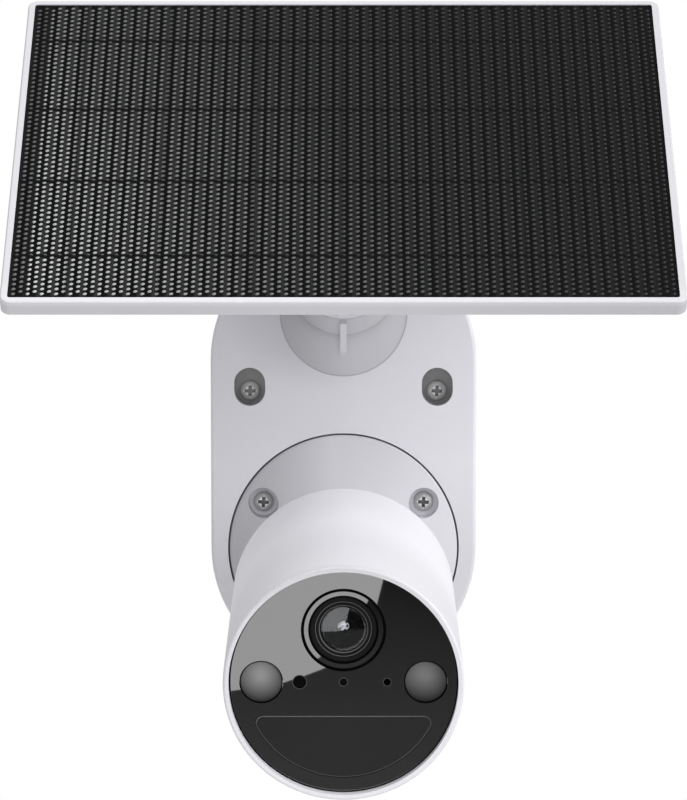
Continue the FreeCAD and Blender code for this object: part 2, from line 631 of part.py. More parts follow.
def lock_nut(y0, z):
    """A thumb nut on the stud, clear of its thread."""
    y1 = y0 + LOCK_NUT_THICKNESS
    small = LOCK_NUT_RADIUS - LOCK_NUT_EDGE
    nut = turned([(0, y0), (small, y0), (LOCK_NUT_RADIUS, y0 + LOCK_NUT_EDGE),
                  (LOCK_NUT_RADIUS, y1 - LOCK_NUT_EDGE), (small, y1), (0, y1)])
    nut = nut.cut(rod(THREAD_RADIUS + RUNNING_GAP, y0 - 1, y1 + 1))
    nut = scalloped(nut, LOCK_NUT_RADIUS, LOCK_NUT_GRIPS, 1.0, y0 + 0.9, y1 - 0.9)
    nut.translate(FreeCAD.Vector(0, 0, z))
    return nut


# ---------------------------------------------------------------- wall plate and what is fixed to it
LOWER_HOLES = on_circle(DISC_HOLE_CIRCLE, [DISC_HOLE_ANGLE, 180 - DISC_HOLE_ANGLE,
                                           180 + DISC_HOLE_ANGLE, -DISC_HOLE_ANGLE])
BOSS_SCREWS = on_circle(2 * BOSS_SCREW_CIRCLE, [10, 170, 270])


def pocket_pill(radius, y0, y1, x):
    """A pill over one screw pocket."""
    return pill(radius, y0, y1, POCKET_LOW_Z, POCKET_HIGH_Z, x)


def mounting_plate():
    """The hollow pill-shaped plate with its recess, pockets, posts and ribs."""
    back_y = -GASKET_THICKNESS
    inner_front_y = PLATE_FRONT_Y + PLATE_FRONT_WALL
    inner_radius = PLATE_RADIUS - PLATE_WALL
    outer = pill(PLATE_RADIUS, PLATE_FRONT_Y, back_y, 0, PLATE_CENTRES)
    outer = rounded_end(outer, PLATE_FRONT_Y, PLATE_EDGE_ROUND)
    shell = outer.cut(pill(inner_radius, inner_front_y, back_y, 0, PLATE_CENTRES))

    recess_radius = DISC_RADIUS + DISC_GAP
    recess_floor_y = DISC_BACK_Y + DISC_RECESS_FLOOR
    added = [rod(inner_radius, inner_front_y, recess_floor_y)]
    removed = [rod(recess_radius, PLATE_FRONT_Y - 1, DISC_BACK_Y)]
    for x, z in LOWER_HOLES:
        added.append(rod(DISC_POST_RADIUS, DISC_BACK_Y, back_y, x, z))
        removed.append(rod(SCREW_HOLE_RADIUS, DISC_BACK_Y - 1, back_y + 1, x, z))
    for side in (-1, 1):
        x = side * POCKET_X
        added.append(pocket_pill(POCKET_WIDTH / 2 + POCKET_WALL, inner_front_y,
                                 POCKET_SEAT_Y + POCKET_FLOOR, x))
        removed.append(pocket_pill(POCKET_WIDTH / 2, PLATE_FRONT_Y - 1, POCKET_SEAT_Y, x))
        removed.append(rod(SCREW_HOLE_RADIUS, POCKET_SEAT_Y - 1, POCKET_SEAT_Y + POCKET_FLOOR + 1,
                           x, UPPER_SCREW_Z))
    for x, z in BOSS_SCREWS:
        removed.append(rod(BOSS_SCREW_RADIUS + SCREW_HOLE_PLAY, PLATE_FRONT_Y - 1, inner_front_y + 1,
                           x, BOSS_Z + z))
    removed.append(rod(LEAD_HOLE_RADIUS, PLATE_FRONT_Y - 1, inner_front_y + 1, 0, BOSS_Z))
    removed.append(rod(LEAD_HOLE_RADIUS, PLATE_FRONT_Y - 1, recess_floor_y + 1))
    rib_half = PLATE_RIB_THICKNESS / 2
    for x in (-PLATE_RIB_X, PLATE_RIB_X):
        added.append(block(x - rib_half, x + rib_half, inner_front_y, back_y,
                           PLATE_RIB_LOW_Z, PLATE_RIB_HIGH_Z))
    added.append(block(-inner_radius, inner_radius, inner_front_y, back_y,
                       PLATE_RIB_LOW_Z - rib_half, PLATE_RIB_LOW_Z + rib_half))
    return fused([shell] + added).cut(Part.makeCompound(removed))


def wall_gasket():
    """Rubber ring between the plate's back edge and the wall."""
    outer = pill(PLATE_RADIUS - FIT_GAP, -GASKET_THICKNESS, 0, 0, PLATE_CENTRES)
    return outer.cut(pill(PLATE_RADIUS - GASKET_WIDTH, -GASKET_THICKNESS, 0, 0, PLATE_CENTRES))


def camera_base():
    """The round disc that carries the camera, with its conical face and threaded neck."""
    front_y = PLATE_FRONT_Y - DISC_PROUD
    cone_top_y = front_y - DISC_CONE_HEIGHT
    cone_top = CAMERA_JOINT.neck + DISC_CONE_MARGIN
    disc = turned([(0, DISC_BACK_Y), (DISC_RADIUS, DISC_BACK_Y), (DISC_RADIUS, front_y + 0.5),
                   (DISC_RADIUS - 0.5, front_y), (cone_top, cone_top_y), (0, cone_top_y)])
    neck = CAMERA_JOINT.neck_solid(CAMERA_BALL_STANDOFF + DISC_RECESS)
    neck.translate(CAMERA_BALL)
    disc = fused([disc, neck])
    socket = CAMERA_JOINT.socket_cut()
    socket.translate(CAMERA_BALL)
    cuts = [socket, rod(LEAD_HOLE_RADIUS, BALL_Y, DISC_BACK_Y + 1)]
    for x, z in LOWER_HOLES:
        cuts.append(rod(DISC_POCKET_RADIUS, cone_top_y - 1, DISC_BACK_Y - DISC_POCKET_FLOOR, x, z))
        cuts.append(rod(SCREW_HOLE_RADIUS, cone_top_y, DISC_BACK_Y + 1, x, z))
    return disc.cut(Part.makeCompound(cuts))


def wall_screws():
    """All six wall screws: two through the plate's pockets, four through the disc."""
    seats = [(side * POCKET_X, POCKET_SEAT_Y, UPPER_SCREW_Z) for side in (-1, 1)]
    seats += [(x, DISC_BACK_Y - DISC_POCKET_FLOOR, z) for x, z in LOWER_HOLES]
    made = []
    for x, y, z in seats:
        one = screw(SCREW_THREAD_RADIUS, SCREW_NECK_RADIUS, SCREW_NECK_LENGTH, SCREW_LENGTH,
                    SCREW_HEAD_RADIUS, SCREW_HEAD_HEIGHT)
        one.translate(FreeCAD.Vector(x, y, z))
        made.append(one)
    return Part.makeCompound(made)


def leaning_circle(radius, low_y, low_z, lean):
    """A circle with its lowest point at y and z, its plane leaning back by an angle in degrees."""
    circle = Part.Wire(Part.makeCircle(radius))
    circle.translate(FreeCAD.Vector(0, radius, 0))
    circle.rotate(ORIGIN, X_AXIS, 90 - lean)
    circle.translate(FreeCAD.Vector(0, low_y, low_z))
    return circle


def boss_foot():
    """The smooth foot, from a circle on the plate to a leaning one just inside the sleeve."""
    downward = FreeCAD.Vector(0, -BOSS_DIRECTION.z, BOSS_DIRECTION.y)
    meeting = PANEL_BALL - BOSS_DIRECTION * (BOSS_BALL_REACH - BOSS_FOOT_REACH)
    meeting = meeting + downward * (BOSS_SLEEVE_RADIUS - 0.2)
    base = leaning_circle(BOSS_RADIUS, PLATE_FRONT_Y, BOSS_Z - BOSS_FOOT_DROP - BOSS_RADIUS, 0)
    small_end = leaning_circle(BOSS_SLEEVE_RADIUS - 0.2, meeting.y, meeting.z, BOSS_FOOT_LEAN)
    foot = Part.makeLoft([base, small_end], True, True)
    if foot.Volume < 0:
        foot.reverse()
    return foot


def boss_rib():
    """The gusset under the boss's neck."""
    downward = FreeCAD.Vector(0, -BOSS_DIRECTION.z, BOSS_DIRECTION.y)
    low = FreeCAD.Vector(0, PLATE_FRONT_Y - BOSS_RIB_REACH, BOSS_Z - BOSS_RIB_DROP)
    rib_top = PANEL_BALL - BOSS_DIRECTION * (BOSS_BALL_REACH - BOSS_RIB_TOP_REACH)
    tip = rib_top + downward * (BOSS_SLEEVE_RADIUS + BOSS_RIB_TOP_RISE)
    bulge = (low + tip) * 0.5 + downward * BOSS_RIB_BULGE
    neck_point = rib_top + downward * (BOSS_SLEEVE_RADIUS - 1.0)
    inside = low - downward * 5.0
    shift = X_AXIS * (-BOSS_RIB_THICKNESS / 2)
    outline = [point + shift for point in (low, bulge, tip, neck_point, inside)]
    face = Part.Face(Part.makePolygon(outline + [outline[0]]))
    return face.extrude(X_AXIS * BOSS_RIB_THICKNESS)


def panel_boss():
    """The leaning boss on the plate: round foot, socket neck and gusset rib."""
    sleeve_front = BOSS_BALL_REACH - BOSS_SLEEVE_REACH
    sleeve = rod(BOSS_SLEEVE_RADIUS, sleeve_front, BOSS_BALL_REACH + 20)
    sleeve = from_socket(sleeve, PANEL_BALL, BOSS_ELEVATION)
    neck = from_socket(PANEL_JOINT.neck_solid(BOSS_BALL_REACH), PANEL_BALL, BOSS_ELEVATION)
    boss = fused([boss_foot(), sleeve, neck, boss_rib()])
    socket = from_socket(PANEL_JOINT.socket_cut(), PANEL_BALL, BOSS_ELEVATION)
    lead = from_socket(rod(LEAD_HOLE_RADIUS, 0, BOSS_BALL_REACH + 6), PANEL_BALL, BOSS_ELEVATION)
    reach = 2 * BOSS_RADIUS
    cuts = [socket, lead, block(-reach, reach, PLATE_FRONT_Y, PLATE_FRONT_Y + reach,
                                BOSS_Z - reach, BOSS_Z + reach)]
    for x, z in BOSS_SCREWS:
        cuts.append(rod(BOSS_SCREW_RADIUS, PLATE_FRONT_Y + PLATE_FRONT_WALL - BOSS_SCREW_LENGTH - 0.5,
                        PLATE_FRONT_Y + 1, x, BOSS_Z + z))
    for cutter in cuts:
        boss = boss.cut(cutter)
    return boss


def boss_screws():
    """Three screws from inside the plate into the boss."""
    return reversed_screws(BOSS_SCREWS, PLATE_FRONT_Y + PLATE_FRONT_WALL, BOSS_Z, BOSS_SCREW_RADIUS,
                           BOSS_SCREW_LENGTH, BOSS_SCREW_HEAD_RADIUS, BOSS_SCREW_HEAD_HEIGHT)


def keep_socket_pieces(prefix, joint, ball, elevation, collar_back):
    """Seat and clamp collar of one ball joint."""
    keep(prefix + "_ball_seat", from_socket(joint.seat_solid(), ball, elevation))
    keep(prefix + "_clamp_collar", from_socket(joint.collar_solid(collar_back), ball, elevation))


keep("mounting_plate", mounting_plate())
keep("wall_gasket", wall_gasket())
keep("camera_base", camera_base())
keep("wall_screws", wall_screws())
keep("panel_boss", panel_boss())
keep("boss_screws", boss_screws())
keep_socket_pieces("camera", CAMERA_JOINT, CAMERA_BALL, 0, CAMERA_COLLAR_BACK)
keep_socket_pieces("panel", PANEL_JOINT, PANEL_BALL, BOSS_ELEVATION, PANEL_COLLAR_BACK)


# ---------------------------------------------------------------- camera body
CAP_SCREWS = on_circle(CAP_SCREW_CIRCLE, [45, 135, 225, 315])


def bay_box(margin, low_z, high_z):
    """A box over the port bay, grown sideways by the margin."""
    return block(-BAY_HALF_WIDTH - margin, BAY_HALF_WIDTH + margin,
                 BAY_FRONT_Y - margin, BAY_BACK_Y + margin, low_z, high_z)


def body_tube():
    """The round shell: rim, face counterbore, ledge, and the opening for the port bay."""
    shell = rod(BODY_RADIUS, 0, CAP_Y)
    shell = rounded_end(shell, 0, BODY_RIM_ROUND)
    shell = shell.cut(rod(FACE_RADIUS + FIT_GAP, -1, FACE_BACK_Y))
    shell = shell.cut(rod(BODY_INNER, FACE_BACK_Y - 0.01, LEDGE_Y))
    shell = shell.cut(rod(LEDGE_RADIUS, LEDGE_Y - 1, LEDGE_Y + LEDGE_THICKNESS + 1))
    shell = shell.cut(rod(BODY_INNER, LEDGE_Y + LEDGE_THICKNESS, CAP_Y + 1))
    window = bay_box(FIT_GAP, -BODY_RADIUS - 1, -BODY_INNER + 6)
    recess = tube(BODY_RADIUS + 1, FLAP_INNER - RUNNING_GAP, BAY_FRONT_Y - 3, BAY_BACK_Y + 3)
    recess = recess.common(bay_box(FLAP_MARGIN + RUNNING_GAP, -BODY_RADIUS - 1, -BODY_RADIUS + 8))
    return shell.cut(window).cut(recess)


def rear_cap():
    """The round-edged back of the body, with a spigot, screw posts, insert boss and speaker holes."""
    cap = rounded_end(rod(BODY_RADIUS, CAP_Y, BODY_LENGTH), BODY_LENGTH, BODY_BACK_ROUND)
    hollow = rod(BODY_INNER, CAP_Y, CAP_INSIDE_Y)
    cap = cap.cut(rounded_end(hollow, CAP_INSIDE_Y, BODY_BACK_ROUND - BODY_WALL))
    spigot_outer = BODY_INNER - FIT_GAP
    spigot = tube(spigot_outer, spigot_outer - 2.0, CAP_Y - CAP_SPIGOT, CAP_Y + 1.5)
    added = [tube(BODY_RADIUS - 1, spigot_outer - 2.0, CAP_Y, CAP_Y + 1.5), spigot]
    seat_y = BODY_LENGTH - CAP_COUNTERBORE
    removed = [tube(spigot_outer + 1, spigot_outer - 1.0, CAP_Y - 2.6, CAP_Y - 1.2)]
    for x, z in CAP_SCREWS:
        added.append(rod(CAP_POST_RADIUS, CAP_Y, CAP_INSIDE_Y + 0.5, x, z))
        removed.append(rod(CAP_SCREW_RADIUS + SCREW_HOLE_PLAY, CAP_Y - 1, BODY_LENGTH + 1, x, z))
        removed.append(rod(CAP_SCREW_HEAD_RADIUS + 0.4, seat_y, BODY_LENGTH + 1, x, z))
    added.append(rod(INSERT_RADIUS + INSERT_BOSS_WALL, CAP_Y + 2.4, CAP_INSIDE_Y + 0.5, 0, STEM_RISE))
    removed.append(rod(INSERT_RADIUS, CAP_Y + 1, BODY_LENGTH + 1, 0, STEM_RISE))
    for ring in range(SPEAKER_HOLE_RINGS + 1):
        for x, z in on_circle(2 * ring * SPEAKER_HOLE_PITCH, evenly(max(1, 6 * ring))):
            removed.append(rod(SPEAKER_HOLE_RADIUS, CAP_INSIDE_Y - 1, BODY_LENGTH + 1, x, SPEAKER_Z + z))
    cap = fused([cap] + added)
    return cap.common(rod(BODY_RADIUS, 0, BODY_LENGTH)).cut(Part.makeCompound(removed))


def rear_cap_seal():
    """Rubber ring in the spigot's groove."""
    outer = BODY_INNER - FIT_GAP / 2
    return tube(outer, BODY_INNER - FIT_GAP - 1.0, CAP_Y - 2.5, CAP_Y - 1.3)


def rear_cap_screws():
    """Four screws through the cap's posts into the inner frame."""
    return reversed_screws(CAP_SCREWS, BODY_LENGTH - CAP_COUNTERBORE, 0, CAP_SCREW_RADIUS,
                           CAP_SCREW_LENGTH, CAP_SCREW_HEAD_RADIUS, CAP_SCREW_HEAD_HEIGHT)


def camera_insert():
    """Brass insert that the quarter-inch stud screws into."""
    return tube(INSERT_RADIUS, THREAD_RADIUS + RUNNING_GAP, CAP_Y + 2.5, BODY_LENGTH - 0.3, 0, STEM_RISE)


def face_cover():
    """The black front cover with holes for lens, lights, sensors and motion window."""
    plate = rod(FACE_RADIUS, FACE_INSET, FACE_BACK_Y)
    plate = rounded_end(plate, FACE_INSET, 0.3)
    low = FACE_INSET - 1
    high = FACE_BACK_Y + 1
    cuts = [rod(LENS_RECESS_RADIUS, low, high, 0, LENS_Z),
            rod(LIGHT_WINDOW_RADIUS, low, high, -SENSOR_HOLE_X, 0),
            rod(STATUS_LIGHT_RADIUS, low, high, 0, 0),
            rod(MICROPHONE_HOLE_RADIUS, low, high, SENSOR_HOLE_X, 0),
            half_moon(PIR_RADIUS, PIR_TOP_Z, PIR_CORNER, low, high)]
    for side in (-1, 1):
        cuts.append(rod(SPOT_RADIUS, low, high, side * SPOT_X, 0))
    return plate.cut(Part.makeCompound(cuts))


def face_seal():
    """Flat rubber ring between the face cover and the ledge."""
    return tube(BODY_INNER - FIT_GAP, LEDGE_RADIUS, FACE_BACK_Y, LEDGE_Y)


def pir_window():
    """Half-moon motion-sensor window with a flange behind the cover."""
    window = half_moon(PIR_RADIUS - FIT_GAP, PIR_TOP_Z - FIT_GAP, PIR_CORNER,
                       FACE_INSET + 0.15, FACE_BACK_Y + 0.2)
    flange = half_moon(PIR_RADIUS + PIR_FLANGE, PIR_TOP_Z + PIR_FLANGE, PIR_CORNER + PIR_FLANGE,
                       FACE_BACK_Y, FACE_BACK_Y + 0.8)
    return fused([window, flange])


def lens_bezel():
    """Black ring round the lens barrel, with a groove round its edge."""
    outer = LENS_RECESS_RADIUS - FIT_GAP
    inner = BARREL_RADIUS + FIT_GAP
    front = FACE_INSET + 0.2
    groove = front + BEZEL_GROOVE_DEPTH
    return turned([(inner, front), (outer - BEZEL_GROOVE, front), (outer - BEZEL_GROOVE, groove),
                   (outer, groove), (outer, FACE_BACK_Y), (outer + 1.2, FACE_BACK_Y),
                   (outer + 1.2, FACE_BACK_Y + 1.2), (inner, FACE_BACK_Y + 1.2)], 0, LENS_Z)


def lens_barrel():
    """Stepped black barrel that holds the lenses."""
    front = FACE_INSET + 0.7
    step_y = LENS_MOUNT_Y - 4
    back = LENS_MOUNT_Y + 3
    front_bore = LENS_RADIUS + FIT_GAP
    seat_bore = LENS_RADIUS - 0.7
    rear_bore = REAR_LENS_RADIUS + 0.05
    exit_bore = REAR_LENS_RADIUS - 0.6
    lens_back = front + 4.2
    rear_seat = LENS_MOUNT_Y + 1.6
    return turned([(front_bore, front + 0.9), (LENS_RADIUS + 0.6, front + 0.5),
                   (BARREL_RIM_RADIUS, front + 0.5), (BARREL_RIM_RADIUS + 0.3, front),
                   (BARREL_RADIUS - 0.4, front), (BARREL_RADIUS, front + 0.4),
                   (BARREL_RADIUS, step_y), (BARREL_SHANK_RADIUS, step_y),
                   (BARREL_SHANK_RADIUS, back), (exit_bore, back), (exit_bore, rear_seat),
                   (rear_bore, rear_seat), (rear_bore, front + 5.5), (seat_bore, front + 5.0),
                   (seat_bore, lens_back), (front_bore, lens_back)], 0, LENS_Z)


def front_lens():
    """Domed front glass element."""
    rim_y = FACE_INSET + 1.7
    back_y = rim_y + 3.1
    curve = (LENS_RADIUS ** 2 + LENS_DOME ** 2) / (2 * LENS_DOME)
    dome = Part.makeSphere(curve, FreeCAD.Vector(0, rim_y - LENS_DOME + curve, LENS_Z))
    dome = dome.common(rod(LENS_RADIUS, rim_y - LENS_DOME - 1, rim_y, 0, LENS_Z))
    return fused([dome, rod(LENS_RADIUS, rim_y, back_y, 0, LENS_Z)])


def rear_lens():
    """Small rear glass element, seated on the barrel's inner step."""
    return rod(REAR_LENS_RADIUS, LENS_MOUNT_Y - 1.6, LENS_MOUNT_Y + 1.6, 0, LENS_Z)


def lens_mount():
    """Square holder that joins the barrel to the sensor board."""
    half = LENS_MOUNT_HALF
    body = block(-half, half, LENS_MOUNT_Y, SENSOR_BOARD_Y, LENS_Z - half, LENS_Z + half)
    body = body.makeFillet(1.5, edges_along_y(body))
    body = body.cut(rod(BARREL_SHANK_RADIUS + FIT_GAP, LENS_MOUNT_Y - 1, LENS_MOUNT_Y + 4, 0, LENS_Z))
    body = body.cut(block(-4, 4, LENS_MOUNT_Y + 3, SENSOR_BOARD_Y, LENS_Z - 4, LENS_Z + 4))
    return body.cut(block(-6.5, 6.5, LENS_MOUNT_Y + 5.5, SENSOR_BOARD_Y + 1, LENS_Z - 6.5, LENS_Z + 6.5))


def square_behind_lens(half_width, half_height, y0, y1):
    """A flat box centred on the lens's axis."""
    return block(-half_width, half_width, y0, y1, LENS_Z - half_height, LENS_Z + half_height)


def front_board():
    """Round board behind the face, open round the lens barrel."""
    back = FRONT_BOARD_Y + BOARD_THICKNESS
    board = rod(FRONT_BOARD_RADIUS, FRONT_BOARD_Y, back)
    return board.cut(rod(BARREL_RADIUS + 0.8, FRONT_BOARD_Y - 1, back + 1, 0, LENS_Z))


def spotlight_lenses():
    """Frosted lenses, each with a thin flange behind the cover."""
    made = []
    for x, z in SPOT_PLACES:
        made.append(fused([rod(SPOT_RADIUS - FIT_GAP, FACE_INSET + 0.3, FACE_BACK_Y + 0.5, x, z),
                           rod(SPOT_RADIUS + SPOT_FLANGE, FACE_BACK_Y, FACE_BACK_Y + 1.0, x, z)]))
    return Part.makeCompound(made)


def spotlight_reflectors():
    """Thin cups between the spotlight lenses and the front board."""
    cups = []
    for x, z in SPOT_PLACES:
        outside = taper(SPOT_RADIUS, 3.6, FACE_BACK_Y + 1.0, FRONT_BOARD_Y, x, z)
        inside = taper(SPOT_RADIUS - 0.8, 2.8, FACE_BACK_Y + 0.99, FRONT_BOARD_Y + 0.01, x, z)
        cups.append(outside.cut(inside))
    return Part.makeCompound(cups)


def spotlight_leds():
    """One light-emitting chip in each cup."""
    return Part.makeCompound([
        block(x - LED_HALF, x + LED_HALF, FRONT_BOARD_Y - 1.0, FRONT_BOARD_Y, z - LED_HALF, z + LED_HALF)
        for x, z in SPOT_PLACES])


def pir_sensor():
    """Round can of the motion sensor, with its foot on the front board."""
    return fused([rod(PIR_SENSOR_RADIUS, 7.6, FRONT_BOARD_Y - 0.4, 0, PIR_SENSOR_Z),
                  rod(PIR_SENSOR_RADIUS + 0.5, FRONT_BOARD_Y - 0.9, FRONT_BOARD_Y, 0, PIR_SENSOR_Z)])


def microphone():
    """Rubber tube from the face to the microphone's block on the front board."""
    half = 2.4
    x = SENSOR_HOLE_X
    return fused([tube(half, MICROPHONE_HOLE_RADIUS, FACE_BACK_Y, FRONT_BOARD_Y - 1.0, x),
                  block(x - half, x + half, FRONT_BOARD_Y - 1.1, FRONT_BOARD_Y, -1.6, 1.6)])


def across_body(y0, y1, low_z):
    """Everything in the body above low_z between two places along it."""
    return block(-BODY_RADIUS, BODY_RADIUS, y0, y1, low_z, BODY_RADIUS)


def inner_frame():
    """Bulkhead, trough, rear ring and the posts that carry the boards."""
    trough = tube(FRAME_RADIUS, TROUGH_RADIUS, BULKHEAD_Y, TROUGH_END_Y)
    trough = trough.cut(across_body(BULKHEAD_BACK_Y, TROUGH_END_Y + 1, TROUGH_TOP_Z))
    shapes = [trough, rod(FRAME_RADIUS, BULKHEAD_Y, BULKHEAD_BACK_Y),
              tube(FRAME_RADIUS, FRAME_RADIUS - FRAME_RING_WIDTH, FRAME_RING_FRONT_Y, FRAME_RING_BACK_Y)]
    for x, z in CAP_SCREWS:
        screw_post = rod(FRAME_SCREW_POST_RADIUS, FRAME_RING_FRONT_Y, FRAME_RING_BACK_Y, x, z)
        shapes.append(screw_post.common(rod(FRAME_RADIUS, 0, FRAME_RING_BACK_Y)))
    holder_outline = block(-HOLDER_HALF_WIDTH - FIT_GAP, HOLDER_HALF_WIDTH + FIT_GAP, 0, BODY_LENGTH,
                           HOLDER_BOTTOM_Z - FIT_GAP, MAIN_BOARD_Z)
    for y in FRAME_RIB_PLACES:
        low = y - 1
        high = y + FRAME_RIB_THICKNESS + 1
        rib = rod(FRAME_RADIUS - 1, y, y + FRAME_RIB_THICKNESS).cut(holder_outline)
        shapes.append(rib.cut(across_body(low, high, CELL_Z + 1)))
        ledge = block(MAIN_BOARD_HALF_WIDTH - 2, TROUGH_RADIUS + 0.2, low, high,
                      TROUGH_TOP_Z - 3, MAIN_BOARD_Z)
        shapes += [ledge, ledge.mirror(ORIGIN, X_AXIS)]
    for x, z in on_circle(2 * (FRONT_BOARD_RADIUS - FRONT_POST_INSET), (40, 140, 215, 325)):
        shapes.append(rod(2.0, FRONT_BOARD_Y + BOARD_THICKNESS, BULKHEAD_Y + 1, x, z))
    for x in (2.5 - SENSOR_BOARD_HALF_WIDTH, SENSOR_BOARD_HALF_WIDTH - 2.5):
        for z in (LENS_Z - SENSOR_BOARD_HALF_HEIGHT + 2.5, LENS_Z + SENSOR_BOARD_HALF_HEIGHT - 2.5):
            shapes.append(rod(1.6, SENSOR_BOARD_Y + BOARD_THICKNESS, BULKHEAD_Y + 1, x, z))
    frame = fused(shapes)
    window = BAY_HALF_WIDTH + BAY_FRAME_MARGIN
    cuts = [block(-window, window, BULKHEAD_BACK_Y + 0.5, FRAME_RING_FRONT_Y,
                  -BODY_RADIUS, HOLDER_BOTTOM_Z - FIT_GAP),
            block(-6, 6, BULKHEAD_Y - 1, BULKHEAD_BACK_Y + 1, 0, 5)]
    for x, z in CAP_SCREWS:
        cuts.append(rod(CAP_SCREW_RADIUS, TROUGH_END_Y, FRAME_RING_BACK_Y + 1, x, z))
    return frame.cut(Part.makeCompound(cuts))


def battery_holder():
    """Cradle under the two cells."""
    y0 = BULKHEAD_BACK_Y
    y1 = FRAME_RIB_PLACES[1]
    trough = block(-HOLDER_HALF_WIDTH, HOLDER_HALF_WIDTH, y0, y1, HOLDER_BOTTOM_Z, CELL_Z + 1)
    trough = trough.common(rod(TROUGH_RADIUS - FIT_GAP, y0, y1))
    for side in (-1, 1):
        trough = trough.cut(rod(CELL_RADIUS + FIT_GAP, y0 + 1, y1 + 1, side * CELL_X, CELL_Z))
    return trough


def battery_cells():
    """Two cylindrical cells with their positive buttons towards the front."""
    y0 = BOARDS_Y
    made = []
    for side in (-1, 1):
        can = fused([rod(CELL_RADIUS, y0 + 1, y0 + CELL_LENGTH - 1, side * CELL_X, CELL_Z),
                     rod(3.5, y0, y0 + 2, side * CELL_X, CELL_Z)])
        made.append(can)
    return Part.makeCompound(made)


def main_board():
    """Main board with connectors on top."""
    half = MAIN_BOARD_HALF_WIDTH
    top = MAIN_BOARD_TOP_Z
    parts = [block(-half, half, BOARDS_Y, MAIN_BOARD_BACK_Y, MAIN_BOARD_Z, top)]
    front = BOARDS_Y + 8.0
    back = MAIN_BOARD_BACK_Y - 10.0
    for x, y in ((6 - half, front), (6 - half, back), (half - 8, front), (half - 8, back + 4)):
        parts.append(block(x - 4, x + 4, y, y + 5, top - 0.2, top + 3.0))
    for x, y in ((-8, back + 2), (4, back + 4)):
        parts.append(block(x, x + 6, y, y + 6, top - 0.2, top + 1.0))
    return fused(parts)


def port_bay():
    """Black tray under the flap, with holes for sockets and buttons."""
    tray = bay_box(0, BAY_RIM_Z, BAY_TOP_Z)
    tray = tray.cut(bay_box(-BAY_WALL, -BODY_RADIUS, BAY_FLOOR_Z))
    tray = tray.common(rod(FLAP_INNER - RUNNING_GAP, BAY_FRONT_Y - 1, BAY_BACK_Y + 1))
    cuts = [block(-6.0, 6.0, BAY_FRONT_Y - 1, BAY_FRONT_Y + BAY_WALL + 1, BAY_FLOOR_Z - 0.9, BAY_FLOOR_Z),
            block(-4.6, 4.6, BAY_BACK_Y - BAY_WALL - 1, BAY_BACK_Y + 1, BAY_FLOOR_Z - 3.5, BAY_FLOOR_Z - 0.1)]
    for x, radius in BUTTONS:
        cuts.append(rod_z(radius + RUNNING_GAP, BAY_FLOOR_Z - 1, BAY_TOP_Z + 1, x))
        cuts.append(rod_z(radius + BUTTON_FLANGE + RUNNING_GAP, BAY_TOP_Z - 1.0, BAY_TOP_Z + 1, x))
    return tray.cut(Part.makeCompound(cuts))


def rod_z(radius, z0, z1, x):
    """A round bar along Z in the middle of the port bay."""
    return post(radius, z0, z1, x, BUTTON_Y)


def bay_button(x, radius):
    """A button with a retaining flange above the bay's floor."""
    flange_z = BAY_TOP_Z - 0.9
    cap = rod_z(radius, BAY_FLOOR_Z - BUTTON_PROUD, flange_z + 0.2, x)
    return fused([cap, rod_z(radius + BUTTON_FLANGE, flange_z, flange_z + 0.35, x)])


def port_cover():
    """Rubber flap, curved like the body, with a shallow lip that enters the bay."""
    flap = tube(BODY_RADIUS, FLAP_INNER, BAY_FRONT_Y - 3, BAY_BACK_Y + 3)
    flap = flap.common(bay_box(FLAP_MARGIN, -BODY_RADIUS - 1, -BODY_RADIUS + 8))
    lip = bay_box(-BAY_WALL - 0.4, -FLAP_INNER - 0.6, FLAP_LIP_TOP_Z)
    lip = lip.cut(bay_box(-BAY_WALL - 1.4, -FLAP_INNER - 1, FLAP_LIP_TOP_Z + 1))
    lip = lip.common(rod(FLAP_INNER + 0.3, BAY_FRONT_Y, BAY_BACK_Y))
    return fused([flap, lip])


def port_board():
    """Small board above the bay, with a flat switch over each button."""
    board = block(-PORT_BOARD_HALF_WIDTH, PORT_BOARD_HALF_WIDTH,
                  BAY_FRONT_Y - PORT_BOARD_FRONT_REACH, BAY_BACK_Y + PORT_BOARD_BACK_REACH,
                  PORT_BOARD_Z, PORT_BOARD_Z + PORT_BOARD_THICKNESS)
    switches = [rod_z(SWITCH_RADIUS, PORT_BOARD_Z - SWITCH_HEIGHT, PORT_BOARD_Z + 0.1, x) for x, _ in BUTTONS]
    return fused([board] + switches)


def card_socket():
    """Metal memory-card socket in front of the bay, under the port board."""
    back = BAY_FRONT_Y - FIT_GAP
    gap_z = BAY_FLOOR_Z - 0.05
    shell = block(-CARD_SOCKET_HALF_WIDTH, CARD_SOCKET_HALF_WIDTH, back - CARD_SOCKET_LENGTH, back,
                  gap_z - CARD_GAP - 0.25, PORT_BOARD_Z)
    return shell.cut(block(-CARD_HALF_WIDTH, CARD_HALF_WIDTH, back - CARD_SOCKET_LENGTH + 1.4, back + 1,
                           gap_z - CARD_GAP, gap_z))


def charge_socket():
    """Charging socket behind the bay: rounded shell, tongue and legs."""
    z_mid = BAY_FLOOR_Z - 1.8
    y0 = BAY_BACK_Y - 0.8
    y1 = BAY_BACK_Y + 6.6
    shell = block(-4.45, 4.45, y0, y1, z_mid - 1.6, z_mid + 1.6)
    shell = shell.makeFillet(1.4, edges_along_y(shell))
    inner = block(-4.15, 4.15, y0 - 1, y1 - 0.8, z_mid - 1.3, z_mid + 1.3)
    shell = shell.cut(inner.makeFillet(1.1, edges_along_y(inner)))
    tongue = block(-3.3, 3.3, y0 + 0.8, y1 - 0.4, z_mid - 0.35, z_mid + 0.35)
    legs = [block(x - 0.5, x + 0.5, y, y + 1.2, z_mid + 1.4, PORT_BOARD_Z)
            for x in (-3.0, 3.0) for y in (y1 - 5.4, y1 - 1.6)]
    return fused([shell, tongue] + legs)


